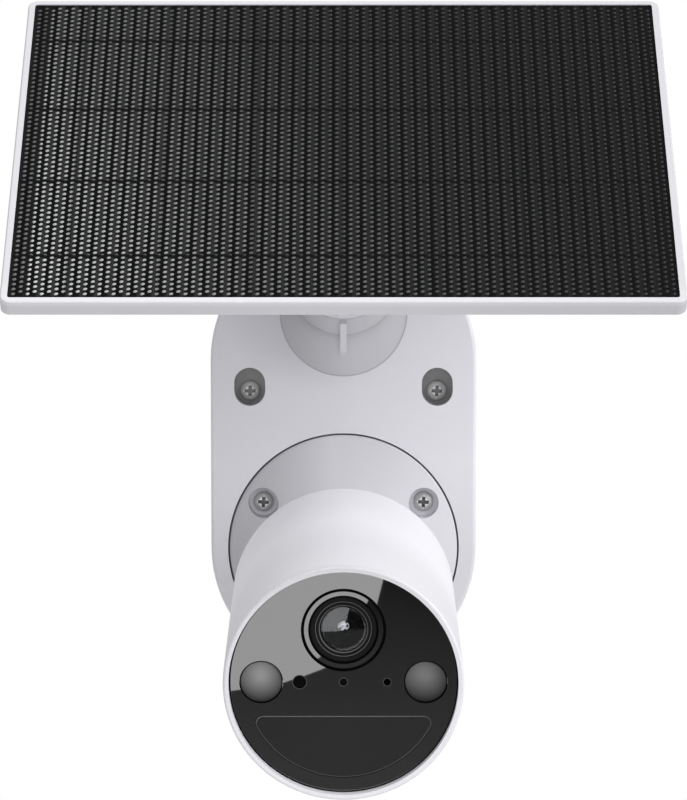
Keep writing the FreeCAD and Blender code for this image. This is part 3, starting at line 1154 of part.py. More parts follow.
def light_window(radius, y0, x):
    """A clear plug from the face to the front board."""
    return rod(radius - FIT_GAP, y0, FRONT_BOARD_Y, x)


def ir_filter():
    """Thin glass in front of the image sensor."""
    return square_behind_lens(6.0, 6.0, LENS_MOUNT_Y + 5.5, LENS_MOUNT_Y + 6.0)


def image_sensor():
    """Sensor chip on the sensor board."""
    return square_behind_lens(5.0, 4.0, SENSOR_BOARD_Y - 1.1, SENSOR_BOARD_Y)


def sensor_board():
    """Board that carries the image sensor."""
    return square_behind_lens(SENSOR_BOARD_HALF_WIDTH, SENSOR_BOARD_HALF_HEIGHT,
                              SENSOR_BOARD_Y, SENSOR_BOARD_Y + BOARD_THICKNESS)


def shield_can():
    """Metal can on the main board."""
    return block(-SHIELD_HALF_WIDTH, SHIELD_HALF_WIDTH, BOARDS_Y + SHIELD_SETBACK,
                 MAIN_BOARD_BACK_Y - SHIELD_END_ROOM, MAIN_BOARD_TOP_Z, MAIN_BOARD_TOP_Z + SHIELD_HEIGHT)


def antenna():
    """Film antenna on the inside of the tube's top."""
    front = BULKHEAD_Y + ANTENNA_SETBACK
    back = CAP_Y - ANTENNA_END_ROOM
    film = tube(BODY_INNER - 0.02, BODY_INNER - FRAME_PLAY, front, back)
    return film.common(block(-ANTENNA_HALF_WIDTH, ANTENNA_HALF_WIDTH, front, back, 0, BODY_RADIUS))


def speaker():
    """Round speaker against the inside of the rear cap."""
    front = CAP_INSIDE_Y - SPEAKER_THICKNESS
    return fused([rod(SPEAKER_RADIUS, CAP_INSIDE_Y - 1.6, CAP_INSIDE_Y, 0, SPEAKER_Z),
                  rod(SPEAKER_RADIUS - 2.5, front, CAP_INSIDE_Y - 1.5, 0, SPEAKER_Z)])


def camera_ball_stem():
    """Ball stem that carries the camera body."""
    shoulder = BODY_LENGTH + LOCK_NUT_THICKNESS + 2 * STEM_SHOULDER_GAP
    return ball_stem(BODY_LENGTH + STEM_SETBACK, STEM_RISE, CAMERA_BALL_RADIUS, CAMERA_STEM_RADIUS,
                     shoulder, CAP_Y + 3.5)


CAMERA_PIECES = {
    "body_tube": body_tube(),
    "rear_cap": rear_cap(),
    "rear_cap_seal": rear_cap_seal(),
    "rear_cap_screws": rear_cap_screws(),
    "camera_insert": camera_insert(),
    "camera_ball_stem": camera_ball_stem(),
    "camera_lock_nut": lock_nut(BODY_LENGTH + STEM_SHOULDER_GAP, STEM_RISE),
    "face_cover": face_cover(),
    "face_seal": face_seal(),
    "pir_window": pir_window(),
    "lens_bezel": lens_bezel(),
    "lens_barrel": lens_barrel(),
    "front_lens": front_lens(),
    "rear_lens": rear_lens(),
    "lens_mount": lens_mount(),
    "ir_filter": ir_filter(),
    "image_sensor": image_sensor(),
    "sensor_board": sensor_board(),
    "spotlight_lenses": spotlight_lenses(),
    "spotlight_reflectors": spotlight_reflectors(),
    "spotlight_leds": spotlight_leds(),
    "front_board": front_board(),
    "pir_sensor": pir_sensor(),
    "light_sensor_window": light_window(LIGHT_WINDOW_RADIUS, FACE_INSET + 0.2, -SENSOR_HOLE_X),
    "status_light_pipe": light_window(STATUS_LIGHT_RADIUS, FACE_INSET + 0.1, 0),
    "microphone": microphone(),
    "inner_frame": inner_frame(),
    "battery_holder": battery_holder(),
    "battery_cells": battery_cells(),
    "main_board": main_board(),
    "shield_can": shield_can(),
    "antenna": antenna(),
    "speaker": speaker(),
    "port_bay": port_bay(),
    "port_cover": port_cover(),
    "port_board": port_board(),
    "card_socket": card_socket(),
    "charge_socket": charge_socket(),
    "power_button": bay_button(POWER_BUTTON_X, POWER_BUTTON_RADIUS),
    "reset_button": bay_button(RESET_BUTTON_X, RESET_BUTTON_RADIUS),
}
for node, shape in CAMERA_PIECES.items():
    keep(node, from_camera(shape))


# ---------------------------------------------------------------- solar panel
HUB_SCREWS = on_circle(HUB_SCREW_CIRCLE, [45, 135, 225, 315])


def panel_frame():
    """Thin white frame with an inner ledge behind the laminate's edge."""
    frame = rounded_slab(PANEL_WIDTH, PANEL_HEIGHT, PANEL_CORNER, 0, PANEL_FRAME_DEPTH)
    frame = rounded_end(frame, 0, 0.5)
    frame = frame.cut(rounded_slab(OPEN_WIDTH, OPEN_HEIGHT, 0.8, -1, SHEET_BACK_Y))
    frame = frame.cut(rounded_slab(OPEN_WIDTH - 2 * PANEL_LEDGE, OPEN_HEIGHT - 2 * PANEL_LEDGE, 0.8,
                                   -1, PANEL_FRAME_DEPTH + 1))
    return frame.cut(rounded_slab(OPEN_WIDTH, OPEN_HEIGHT, 0.8, BACK_Y - BACK_COVER_THICKNESS, BACK_Y + 1))


def solar_laminate():
    """Clear front sheet over the cells."""
    return rounded_slab(OPEN_WIDTH - 2 * FIT_GAP, OPEN_HEIGHT - 2 * FIT_GAP, 0.7,
                        LAMINATE_INSET, LAMINATE_BACK_Y)


def solar_cells():
    """The grid of cells behind the laminate."""
    cells = []
    half_x = (CELL_PITCH_X - CELL_GAP) / 2
    half_z = (CELL_PITCH_Z - CELL_GAP) / 2
    back = SHEET_BACK_Y - 0.05
    for column in range(CELL_COLUMNS):
        for row in range(CELL_ROWS):
            x = (column - (CELL_COLUMNS - 1) / 2) * CELL_PITCH_X
            z = (row - (CELL_ROWS - 1) / 2) * CELL_PITCH_Z
            cells.append(block(x - half_x, x + half_x, LAMINATE_BACK_Y, back, z - half_z, z + half_z))
    return Part.makeCompound(cells)


def panel_back():
    """Back cover with a hollow raised pad for the hub and the charge board."""
    lid_front = BACK_Y - BACK_COVER_THICKNESS
    lid = rounded_slab(OPEN_WIDTH - 2 * FIT_GAP, OPEN_HEIGHT - 2 * FIT_GAP, 0.7, lid_front, BACK_Y)
    pad = rounded_slab(PAD_WIDTH, PAD_HEIGHT, 5.0, lid_front, PAD_Y, PANEL_RISE)
    hollow = rounded_slab(PAD_WIDTH - 2 * PAD_WALL, PAD_HEIGHT - 2 * PAD_WALL, 3.0,
                          lid_front - 1, PAD_Y - PAD_WALL, PANEL_RISE)
    cover = fused([lid, pad]).cut(hollow)
    added = []
    cuts = []
    for x, z in HUB_SCREWS:
        added.append(rod(3.0, SHEET_BACK_Y + 0.2, PAD_Y - PAD_WALL + 0.5, x, PANEL_RISE + z))
        cuts.append(rod(HUB_SCREW_RADIUS, SHEET_BACK_Y + 1.0, PAD_Y + 1, x, PANEL_RISE + z))
    for x in (-CHARGE_BOARD_POST_X, CHARGE_BOARD_POST_X):
        added.append(rod(CHARGE_BOARD_POST_RADIUS, CHARGE_BOARD_BACK_Y, PAD_Y - PAD_WALL + 0.5,
                         x, CHARGE_BOARD_Z + CHARGE_BOARD_HEIGHT / 2))
    for x in (-BACK_RIB_X, BACK_RIB_X):
        for low, high in ((-BACK_RIB_HIGH, -BACK_RIB_LOW), (BACK_RIB_LOW, BACK_RIB_HIGH)):
            added.append(block(x - BACK_RIB_THICKNESS / 2, x + BACK_RIB_THICKNESS / 2,
                               SHEET_BACK_Y + 0.2, lid_front + 0.5, low, high))
    return fused([cover] + added).cut(Part.makeCompound(cuts))


def panel_hub():
    """Flanged hub on the pad that takes the stem's stud."""
    edge = 0.8
    hub = turned([(0, PAD_Y), (HUB_FLANGE_RADIUS, PAD_Y), (HUB_FLANGE_RADIUS, HUB_FLANGE_Y - edge),
                  (HUB_FLANGE_RADIUS - edge, HUB_FLANGE_Y), (HUB_RADIUS + 1, HUB_FLANGE_Y),
                  (HUB_RADIUS, HUB_FLANGE_Y + 1.5), (HUB_RADIUS, HUB_END_Y - edge),
                  (HUB_RADIUS - edge, HUB_END_Y), (0, HUB_END_Y)], 0, PANEL_RISE)
    cuts = [rod(THREAD_RADIUS + RUNNING_GAP, HUB_FLANGE_Y, HUB_END_Y + 1, 0, PANEL_RISE),
            rod(LEAD_BORE_RADIUS, PAD_Y - 1, HUB_END_Y, 0, PANEL_RISE)]
    for x, z in HUB_SCREWS:
        cuts.append(rod(HUB_SCREW_RADIUS + SCREW_HOLE_PLAY, PAD_Y - 1, HUB_FLANGE_Y + 1, x, PANEL_RISE + z))
    return hub.cut(Part.makeCompound(cuts))


def hub_screws():
    """Four screws through the hub's flange into the pad."""
    return reversed_screws(HUB_SCREWS, HUB_FLANGE_Y, PANEL_RISE, HUB_SCREW_RADIUS,
                           HUB_SCREW_LENGTH, HUB_SCREW_HEAD_RADIUS, HUB_SCREW_HEAD_HEIGHT)


def charge_board():
    """Small board on two posts inside the pad, above the hub."""
    return block(-CHARGE_BOARD_HALF_WIDTH, CHARGE_BOARD_HALF_WIDTH,
                 CHARGE_BOARD_BACK_Y - BOARD_THICKNESS, CHARGE_BOARD_BACK_Y,
                 CHARGE_BOARD_Z, CHARGE_BOARD_Z + CHARGE_BOARD_HEIGHT)


def panel_ball_stem():
    """Ball stem that carries the panel."""
    shoulder = HUB_END_Y + LOCK_NUT_THICKNESS + 2 * STEM_SHOULDER_GAP
    return ball_stem(PANEL_STANDOFF, PANEL_RISE, PANEL_BALL_RADIUS, PANEL_STEM_RADIUS,
                     shoulder, HUB_FLANGE_Y + 1.0)


PANEL_PIECES = {
    "panel_frame": panel_frame(),
    "solar_laminate": solar_laminate(),
    "solar_cells": solar_cells(),
    "panel_back": panel_back(),
    "charge_board": charge_board(),
    "panel_hub": panel_hub(),
    "hub_screws": hub_screws(),
    "panel_ball_stem": panel_ball_stem(),
    "panel_lock_nut": lock_nut(HUB_END_Y + STEM_SHOULDER_GAP, PANEL_RISE),
}
for node, shape in PANEL_PIECES.items():
    keep(node, from_panel(shape))

for node, shape in PIECES.items():
    shape.exportStep("parts/" + node + ".step")
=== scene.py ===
"""Looks for the solar-powered wall security camera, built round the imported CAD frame.

Everything is in metres, in the row frame: origin on the wall, on the axis of the camera base disc,
+X to the right seen from the front, +Y into the wall, +Z up. Sizes in millimetres are turned into
metres by the frame that they are placed in, or by MM.
"""
import bmesh
import bpy
import json
import math
from mathutils import Matrix, Vector

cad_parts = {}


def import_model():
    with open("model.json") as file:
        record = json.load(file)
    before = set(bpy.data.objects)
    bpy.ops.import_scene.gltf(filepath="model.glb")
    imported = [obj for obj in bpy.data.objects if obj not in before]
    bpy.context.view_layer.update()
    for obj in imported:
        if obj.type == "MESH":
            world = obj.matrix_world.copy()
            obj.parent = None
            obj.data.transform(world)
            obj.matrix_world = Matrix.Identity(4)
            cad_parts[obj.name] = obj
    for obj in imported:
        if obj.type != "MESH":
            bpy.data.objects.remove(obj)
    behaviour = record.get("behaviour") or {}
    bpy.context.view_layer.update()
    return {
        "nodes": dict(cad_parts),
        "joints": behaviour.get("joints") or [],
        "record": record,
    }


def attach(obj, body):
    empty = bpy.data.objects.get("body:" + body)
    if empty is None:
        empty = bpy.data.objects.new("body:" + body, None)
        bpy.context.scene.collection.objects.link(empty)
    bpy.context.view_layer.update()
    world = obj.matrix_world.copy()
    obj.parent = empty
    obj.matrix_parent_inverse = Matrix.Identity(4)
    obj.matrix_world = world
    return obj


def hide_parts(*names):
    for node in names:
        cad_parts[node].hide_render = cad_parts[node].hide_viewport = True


MM = 0.001

# ------------------------------------------------ sizes that follow the CAD source, in millimetres
BODY_LENGTH = 108.0
STEM_SETBACK = 24.6          # camera ball behind the body's back face
STEM_RISE = 5.1              # camera stem above the body's axis
CAP_COUNTERBORE = 3.0
CAP_SCREW_CIRCLE = 54.0

FACE_INSET = 2.4             # the face's front behind the body's rim
FACE_RADIUS = 32.3
LENS_Z = 15.1
LENS_RADIUS = 6.35
LENS_DOME = 1.1
BEZEL_OUTER = 11.9
BEZEL_INNER = 9.75
SPOT_X = 23.2
SPOT_RADIUS = 6.1            # of the lens inside its hole
SENSOR_HOLES = ((-12.35, 1.8), (0.0, 1.0), (12.35, 0.95))      # x and radius of the three small holes
PIR_RADIUS = 28.0            # the motion window: its round edge, the height of its top, and its corners
PIR_TOP_Z = -9.8
PIR_CORNER = 2.3

PLATE_THICKNESS = 12.0
POCKET_X = 30.0
POCKET_Z = 52.1
UPPER_SCREW_Z = 50.2
UPPER_SCREW_SEAT = 4.6       # seats of the wall screws in front of the wall
LOW_SCREW_SEAT = 9.5
DISC_HOLE_CIRCLE = 59.3
DISC_HOLE_ANGLE = math.radians(30)
LOW_SCREW_X = DISC_HOLE_CIRCLE / 2 * math.cos(DISC_HOLE_ANGLE)
LOW_SCREW_Z = DISC_HOLE_CIRCLE / 2 * math.sin(DISC_HOLE_ANGLE)

BOSS_CENTRE_Z = 76.2
BOSS_FOOT_Z = 75.8
BOSS_RADIUS = 20.0
BOSS_RISE = math.radians(43.0)
SLEEVE_FOOT_REACH = 5.6      # where the sleeve leaves the foot, along the boss's axis from the plate
SLEEVE_FRONT_REACH = 13.85   # and the line near its front
RIB_HALF_WIDTH = 1.02

PANEL_STANDOFF = 56.7        # panel ball behind the panel's front face
PANEL_RISE = 8.1             # panel stem above the panel's centre, along the slope
PANEL_WIDTH = 198.0
PANEL_HEIGHT = 139.0
PANEL_SIDE_BEZEL = 2.15
PANEL_END_BEZEL = 2.0
LAMINATE_INSET = 0.3
LAMINATE_BACK = 1.5
CELL_PITCH_X = 26.75
CELL_PITCH_Z = 33.0
CELLS_HALF_WIDTH = 91.0
HUB_SCREW_CIRCLE = 23.0
HUB_FLANGE_Y = 14.0

# Radii of head, neck and thread, lengths, and the cross's half length, width and depth.
WALL_SCREW = {"head": 3.2, "head_height": 2.5, "neck": 1.5, "neck_length": 9.5, "thread": 1.75,
              "length": 30.0, "arm": 1.75, "width": 1.1, "depth": 1.5}
CAP_SCREW = {"head": 2.6, "head_height": 1.8, "neck": 1.05, "neck_length": 1.0, "thread": 1.25,
             "length": 18.0, "arm": 1.4, "width": 0.78, "depth": 1.0}
HUB_SCREW = {"head": 2.3, "head_height": 1.5, "neck": 1.05, "neck_length": 1.0, "thread": 1.25,
             "length": 8.0, "arm": 1.25, "width": 0.7, "depth": 0.9}

# ------------------------------------------------ sizes of what is only made here, in millimetres
DOT_PITCH = 2.07             # embossed dots on the solar film
DOT_RADIUS = 0.66
DOT_NARROWNESS = 0.8         # a dot's width in its lengths
DOT_LEAN = math.radians(32)
DOT_HEIGHT = 0.22
DOT_SIDES = 8
BUS_HALF_WIDTH = 0.55        # dark lines between the cells, under the film
THREAD_PITCH = 1.3
THREAD_DEPTH = 0.28
THREAD_STEPS = 8             # rings of points for each turn of a thread
SCREW_SIDES = 48
ON_AXIS = 1e-6               # a profile's point nearer than this to its axis is on it
FUNNEL_STEP = 0.28           # depth of each of the four steps behind the front glass
FUNNEL_STEPS = 4
FUNNEL_FRONT = FACE_INSET + 2.9
SPOT_HIGHLIGHT_Z = 1.9            # brightest place of a spotlight's lens above its middle

# ------------------------------------------------ camera and studio
CAMERA_PLACE = Vector((0.0, -1.1526, 0.1879))
CAMERA_DOWN = 7.0            # degrees below the horizontal
CAMERA_LENS = 161.6
FLOOR_Z = -0.62
FLOOR_SIZE = 12.0
ROOM_FILL = 0.05             # soft light from everywhere, and more from the left, the front and above
ROOM_LEFT = 0.08
ROOM_FRONT = 0.83
ROOM_TOP = 0.72
GLOSS_DARK = 0.015           # what gloss sees level with it in front, and above
GLOSS_LOW = 0.19             # and below
GLOSS_BACK = 0.8             # and of the bright room behind the part
GLOSS_LOW_EDGE = (-0.36, -0.30)        # heights of a direction between which low turns to dark
GLOSS_BACK_EDGE = (0.35, 0.8)          # and depths between which the room behind comes in
CARD_GLOW = 1.9
CARD_DISTANCE = 0.6
LAMP_SIZE = 0.7
LAMP_TARGET = (0, -0.05, 0.05)
LAMPS = {                    # place and watts
    "key": ((1.0, -0.75, 0.85), 5.5),
    "low_right": ((1.2, -0.9, 0.5), 3.6),
    "rear_right": ((0.9, 0.25, 0.9), 5.5),
}

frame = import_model()
JOINTS = {joint["name"]: joint for joint in frame["joints"]}
SLOT_OF = {row["node"]: row["material_slot"] for row in frame["record"]["subparts"]}


def local_frame(back, point, at):
    """The matrix whose +Y runs along back and whose point (x, y, z in mm) lands on at, with +X level."""
    back = Vector(back).normalized()
    side = Vector((1, 0, 0))
    up = side.cross(back).normalized()
    turn = Matrix((side, back, up)).transposed()
    place = Vector(at) - turn @ (Vector(point) * MM)
    return Matrix.Translation(place) @ turn.to_4x4() @ Matrix.Scale(MM, 4)


CAMERA_FRAME = local_frame(-Vector(JOINTS["camera_twist"]["axis"]),
                           (0, BODY_LENGTH + STEM_SETBACK, STEM_RISE), JOINTS["camera_twist"]["pos_m"])
CAMERA_AXES = [column.normalized() for column in CAMERA_FRAME.to_3x3().col]
LENS_FRAME = CAMERA_FRAME @ Matrix.Translation((0, 0, LENS_Z))
PANEL_FRAME = local_frame(Vector(JOINTS["panel_twist"]["axis"]), (0, PANEL_STANDOFF, PANEL_RISE),
                          JOINTS["panel_twist"]["pos_m"])
WALL_FRAME = Matrix.Scale(MM, 4)


# ------------------------------------------------ node helpers
def rgba(tone):
    """A grey level or a colour as the four channels of a socket's value; a socket stays as it is."""
    if isinstance(tone, bpy.types.NodeSocket):
        return tone
    return (tone, tone, tone, 1) if isinstance(tone, float) else (*tone, 1)


class Nodes:
    """A node tree with short ways to grow it. Values are sockets, or plain numbers, vectors and colours."""

    def __init__(self, tree):
        self.tree = tree

    def node(self, kind, **settings):
        """A new node with its settings."""
        made = self.tree.nodes.new(kind)
        for key, value in settings.items():
            setattr(made, key, value)
        return made

    def feed(self, value, socket):
        """Links a value that is a socket, and sets a plain one."""
        if isinstance(value, bpy.types.NodeSocket):
            self.tree.links.new(value, socket)
        else:
            socket.default_value = value

    def work(self, made, values):
        """The outputs of a node, once its first inputs are fed."""
        for value, socket in zip(values, made.inputs):
            self.feed(value, socket)
        return made.outputs

    def calc(self, operation, *values):
        """What one Math node gives."""
        return self.work(self.node("ShaderNodeMath", operation=operation), values)[0]

    def fold(self, operation, first, *others):
        """A Math operation over any number of values."""
        for other in others:
            first = self.calc(operation, first, other)
        return first

    def vector(self, operation, *values):
        """The vector that one Vector Math node gives."""
        return self.work(self.node("ShaderNodeVectorMath", operation=operation), values)["Vector"]

    def measure(self, operation, *values):
        """The number that one Vector Math node gives."""
        return self.work(self.node("ShaderNodeVectorMath", operation=operation), values)["Value"]

    def parts(self, vector):
        """The X, Y and Z of a vector."""
        return tuple(self.work(self.node("ShaderNodeSeparateXYZ"), [vector]))

    def joined(self, x, z):
        """The vector (x, 0, z)."""
        return self.work(self.node("ShaderNodeCombineXYZ"), [x, 0.0, z])["Vector"]

    def spread(self, value, low, high, from_low=0.3, from_high=0.7):
        """A value stretched from one range to another."""
        return self.work(self.node("ShaderNodeMapRange"), [value, from_low, from_high, low, high])["Result"]

    def rise(self, value, start, end):
        """0 up to a start and 1 from an end on, both in mm."""
        return self.spread(value, 0.0, 1.0, start * MM, end * MM)

    def fall(self, value, start, end):
        """1 up to a start and 0 from an end on, both in mm."""
        return self.spread(value, 1.0, 0.0, start * MM, end * MM)

    def ramp(self, value, stops):
        """Colours along a value, from (position, colour or grey level) stops."""
        made = self.node("ShaderNodeValToRGB")
        elements = made.color_ramp.elements
        elements.remove(elements[1])
        for index, (position, tone) in enumerate(stops):
            stop = elements.new(position) if index else elements[0]
            stop.position = position
            stop.color = rgba(tone)
        self.feed(value, made.inputs["Fac"])
        return made.outputs["Color"]

    def levels(self, value, stops):
        """A ramp along a value in metres, with stops of millimetres and level."""
        low, high = stops[0][0], stops[-1][0]
        placed = [((at - low) / (high - low), tone) for at, tone in stops]
        return self.ramp(self.rise(value, low, high), placed)

    def mix(self, mask, off, on, **settings):
        """One of two numbers, by a mask."""
        made = self.node("ShaderNodeMix", **settings)
        for value, name in ((mask, "Factor"), (off, "A"), (on, "B")):
            self.feed(value, made.inputs[name])
        return made.outputs["Result"]

    def blend(self, mask, off, on, **settings):
        """One of two colours or levels, by a mask."""
        return self.mix(mask, rgba(off), rgba(on), data_type="RGBA", **settings)

    def toned(self, color, *shadings):
        """A colour multiplied by levels along each of several values."""
        for value, stops in shadings:
            color = self.blend(1.0, color, self.levels(value, stops), blend_type="MULTIPLY")
        return color

    def either_ray(self, first, second):
        """1 for rays of either kind."""
        seen = self.node("ShaderNodeLightPath").outputs
        return self.calc("MAXIMUM", seen[first], seen[second])


class Paint(Nodes):
    """A Principled material with its node tree at hand."""

    def __init__(self, name, color, roughness, **fixed):
        self.material = bpy.data.materials.new(name)
        self.material.use_nodes = True
        super().__init__(self.material.node_tree)
        self.shader = self.tree.nodes["Principled BSDF"]
        self.place = self.node("ShaderNodeTexCoord").outputs["Object"]
        self.set("Base Color", rgba(color))
        self.set("Roughness", roughness)
        for key, value in fixed.items():
            self.set(key.replace("_", " "), value)

    def set(self, name, value):
        """Sets one of the shader's inputs."""
        self.feed(value, self.shader.inputs[name])

    def noise(self, per_metre, detail=2.0, stretch=None):
        """A noise value that is fixed to the object."""
        texture = self.node("ShaderNodeTexNoise")
        texture.inputs["Scale"].default_value = per_metre
        texture.inputs["Detail"].default_value = detail
        source = self.place
        if stretch:
            mapping = self.node("ShaderNodeMapping")
            mapping.inputs["Scale"].default_value = stretch
            self.feed(source, mapping.inputs["Vector"])
            source = mapping.outputs["Vector"]
        self.feed(source, texture.inputs["Vector"])
        return texture.outputs["Fac"]

    def vary_color(self, value, dark, light):
        """Base colour that runs from dark to light with a value."""
        self.set("Base Color", self.ramp(value, [(0.3, dark), (0.7, light)]))

    def vary_roughness(self, value, low, high):
        """Roughness that runs from low to high with a value."""
        self.set("Roughness", self.spread(value, low, high))

    def bump(self, value, millimetres):
        """Surface relief from a value."""
        relief = self.node("ShaderNodeBump")
        relief.inputs["Strength"].default_value = 1.0
        relief.inputs["Distance"].default_value = millimetres * MM
        self.feed(value, relief.inputs["Height"])
        self.set("Normal", relief.outputs["Normal"])

    def grain(self, per_metre, roughness, relief):
        """Fine spark-eroded grain, with the uneven gloss that goes with it."""
        fine = self.noise(per_metre, 3.0)
        self.vary_roughness(fine, roughness - 0.05, roughness + 0.06)
        self.bump(fine, relief)

    def clear_where(self, mask, surface=None):
        """Lets light straight through where a mask is 1."""
        mix = self.node("ShaderNodeMixShader")
        self.feed(mask, mix.inputs["Fac"])
        self.feed(surface or self.shader.outputs["BSDF"], mix.inputs[1])
        self.feed(self.node("ShaderNodeBsdfTransparent").outputs["BSDF"], mix.inputs[2])
        self.feed(mix.outputs["Shader"], self.tree.nodes["Material Output"].inputs["Surface"])


def shade(color, factor):
    """A colour made lighter or darker."""
    return tuple(min(1.0, channel * factor) for channel in color)


# ------------------------------------------------ plain materials
def moulded(name, color, roughness, grain=2600.0, relief=0.004, wander=0.02):
    """Moulded plastic: fine grain, a slow drift of tone, and uneven gloss."""
    paint = Paint(name, color, roughness)
    paint.vary_color(paint.noise(38.0, 3.0), shade(color, 1 - wander), shade(color, 1 + wander))
    paint.grain(grain, roughness, relief)
    return paint.material


def glossy_black(name, color, roughness, **fixed):
    """Polished black plastic with a trace of orange peel."""
    paint = Paint(name, color, roughness, **fixed)
    paint.vary_color(paint.noise(30.0), shade(color, 0.92), shade(color, 1.08))
    paint.vary_roughness(paint.noise(260.0, 2.0), roughness * 0.8, roughness * 1.3)
    paint.bump(paint.noise(110.0, 1.0), 0.0002)
    return paint.material


def soft_rubber(name, color):
    """Dull rubber with a coarse skin."""
    paint = Paint(name, color, 0.75)
    paint.vary_color(paint.noise(60.0, 4.0), shade(color, 0.93), shade(color, 1.06))
    skin = paint.noise(1500.0, 4.0)
    paint.vary_roughness(skin, 0.66, 0.86)
    paint.bump(skin, 0.012)
    return paint.material


def metal(name, color, roughness, along=None):
    """Bare metal with tool marks."""
    paint = Paint(name, color, roughness, Metallic=1.0)
    marks = paint.noise(900.0, 5.0, along)
    paint.vary_color(marks, shade(color, 0.88), shade(color, 1.07))
    paint.vary_roughness(marks, roughness * 0.7, roughness * 1.35)
    paint.bump(marks, 0.003)
    return paint.material


def upper_mask(paint):
    """1 at the height of the upper wall screws, 0 elsewhere."""
    return paint.levels(paint.parts(paint.place)[2], [(38, 0.0), (42, 1.0), (60, 1.0), (64, 0.0)])


def plated_steel():
    """Dull plated screw steel with a painted highlight, lightest round the cross and darker away from it;
    the upper wall screws are painted lighter, as painted light.
    """
    paint = Paint("steel_screw", (0.66, 0.66, 0.66), 0.34, Metallic=0.1)
    paint.vary_roughness(paint.noise(1400.0, 2.0), 0.3, 0.38)
    u, v, _ = paint.parts(paint.node("ShaderNodeUVMap").outputs["UV"])
    # painted highlight: lightest round the cross, darker toward the head's edge
    highlight_diamond = paint.calc("ADD", paint.calc("ABSOLUTE", u), paint.calc("ABSOLUTE", v))
    away = paint.spread(highlight_diamond, 0.0, 1.0, 1.9, 2.6)
    lower = paint.ramp(away, [(0, (0.82, 0.82, 0.83)), (1, (0.43, 0.432, 0.43))])
    upper = paint.ramp(away, [(0, (0.98, 0.98, 0.98)), (1, (0.66, 0.662, 0.66))])
    # the upper wall screws take the lighter ramp: painted light
    paint.set("Base Color", paint.blend(upper_mask(paint), lower, upper))
    return paint.material


def recess_steel():
    """Steel down inside a cross recess, painted dark grey as painted shade, and lighter in the upper wall
    screws as painted light.
    """
    paint = Paint("recess_steel", (0.22, 0.22, 0.22), 0.5, Metallic=0.2)
    grey = paint.ramp(paint.noise(900.0), [(0.3, (0.2, 0.202, 0.2)), (0.7, (0.26, 0.26, 0.26))])
    # painted shade in the recess; lighter in the upper wall screws: painted light
    paint.set("Base Color", paint.blend(upper_mask(paint), grey, 0.4))
    return paint.material


def lens_glass():
    """Clear coated glass, open to the light that falls on what lies behind it."""
    paint = Paint("lens_glass", (0.86, 0.88, 0.93), 0.008, Transmission_Weight=1.0, IOR=1.52)
    paint.vary_roughness(paint.noise(300.0, 2.0), 0.004, 0.0128)
    paint.clear_where(paint.either_ray("Is Shadow Ray", "Is Diffuse Ray"))
    return paint.material


def circuit_board():
    """Green solder mask with faint copper tracks under it."""
    paint = Paint("circuit_board", (0.02, 0.14, 0.05), 0.35)
    tracks = paint.node("ShaderNodeTexBrick")
    for name, value in (("Vector", paint.place), ("Scale", 260.0), ("Mortar Size", 0.06),
                        ("Color1", (0.018, 0.13, 0.045, 1)), ("Color2", (0.024, 0.16, 0.06, 1)),
                        ("Mortar", (0.07, 0.26, 0.09, 1))):
        paint.feed(value, tracks.inputs[name])
    paint.set("Base Color", tracks.outputs["Color"])
    paint.vary_roughness(paint.noise(700.0), 0.28, 0.45)
    return paint.material


def silicon():
    """Dark blue-black silicon with a crystalline drift."""
    paint = Paint("solar_cell", (0.01, 0.012, 0.03), 0.3)
    paint.vary_color(paint.noise(120.0, 1.0), (0.006, 0.008, 0.02), (0.014, 0.017, 0.04))
    paint.vary_roughness(paint.noise(900.0), 0.22, 0.4)
    return paint.material


# ------------------------------------------------ solar panel's materials
def panel_place(paint):
    """The place in the panel's own frame, in metres: X across, Y into the panel, Z up the slope."""
    mapping = paint.node("ShaderNodeMapping")
    mapping.inputs["Rotation"].default_value = PANEL_FRAME.to_3x3().normalized().inverted().to_euler()
    paint.feed(paint.vector("SUBTRACT", paint.place, PANEL_FRAME.to_translation()), mapping.inputs["Vector"])
    return paint.parts(mapping.outputs["Vector"])


def stripe(paint, coordinate, pitch, offset, half_width):
    """1 on evenly spaced lines of a coordinate, fading out over a line's own width."""
    moved = paint.calc("ADD", coordinate, (10 * pitch + offset) * MM)
    folded = paint.calc("PINGPONG", moved, pitch / 2 * MM)
    return paint.fall(folded, half_width * 0.6, half_width * 1.6)


def dim_mask(paint, x, z):
    """1 over the lines between rows of cells, less over the upright ones and the margins, 0 over cells."""
    across = stripe(paint, z, CELL_PITCH_Z, CELL_PITCH_Z / 2, BUS_HALF_WIDTH)
    upright = paint.calc("MULTIPLY", stripe(paint, x, CELL_PITCH_X, 0.0, BUS_HALF_WIDTH * 0.8), 0.55)
    side = paint.calc("ABSOLUTE", x)
    margin = paint.spread(side, 0.0, 0.75, CELLS_HALF_WIDTH * MM, (CELLS_HALF_WIDTH + 0.5) * MM)
    return paint.fold("MAXIMUM", across, upright, margin)


def solar_film():
    """Black film over the cells: faint upright bars, painted lighter toward the left as painted light, dark
    lines between cells, slightly uneven sheen.
    """
    paint = Paint("solar_film", (0.012, 0.013, 0.014), 0.42, Specular_IOR_Level=0.2)
    x, _, z = panel_place(paint)
    # painted light: the bars lighter toward the panel's left, darker toward its right
    painted_light_tone = paint.levels(x, [(-99, 0.03), (-40, 0.026), (20, 0.018), (99, 0.012)])
    bars = stripe(paint, x, 2 * DOT_PITCH, DOT_PITCH / 2, 0.5)
    color = paint.blend(bars, (0.0045, 0.0048, 0.005), painted_light_tone)
    paint.set("Base Color", paint.blend(dim_mask(paint, x, z), color, (0.0045, 0.0045, 0.005)))
    paint.vary_roughness(paint.noise(800.0, 3.0), 0.36, 0.5)
    return paint.material


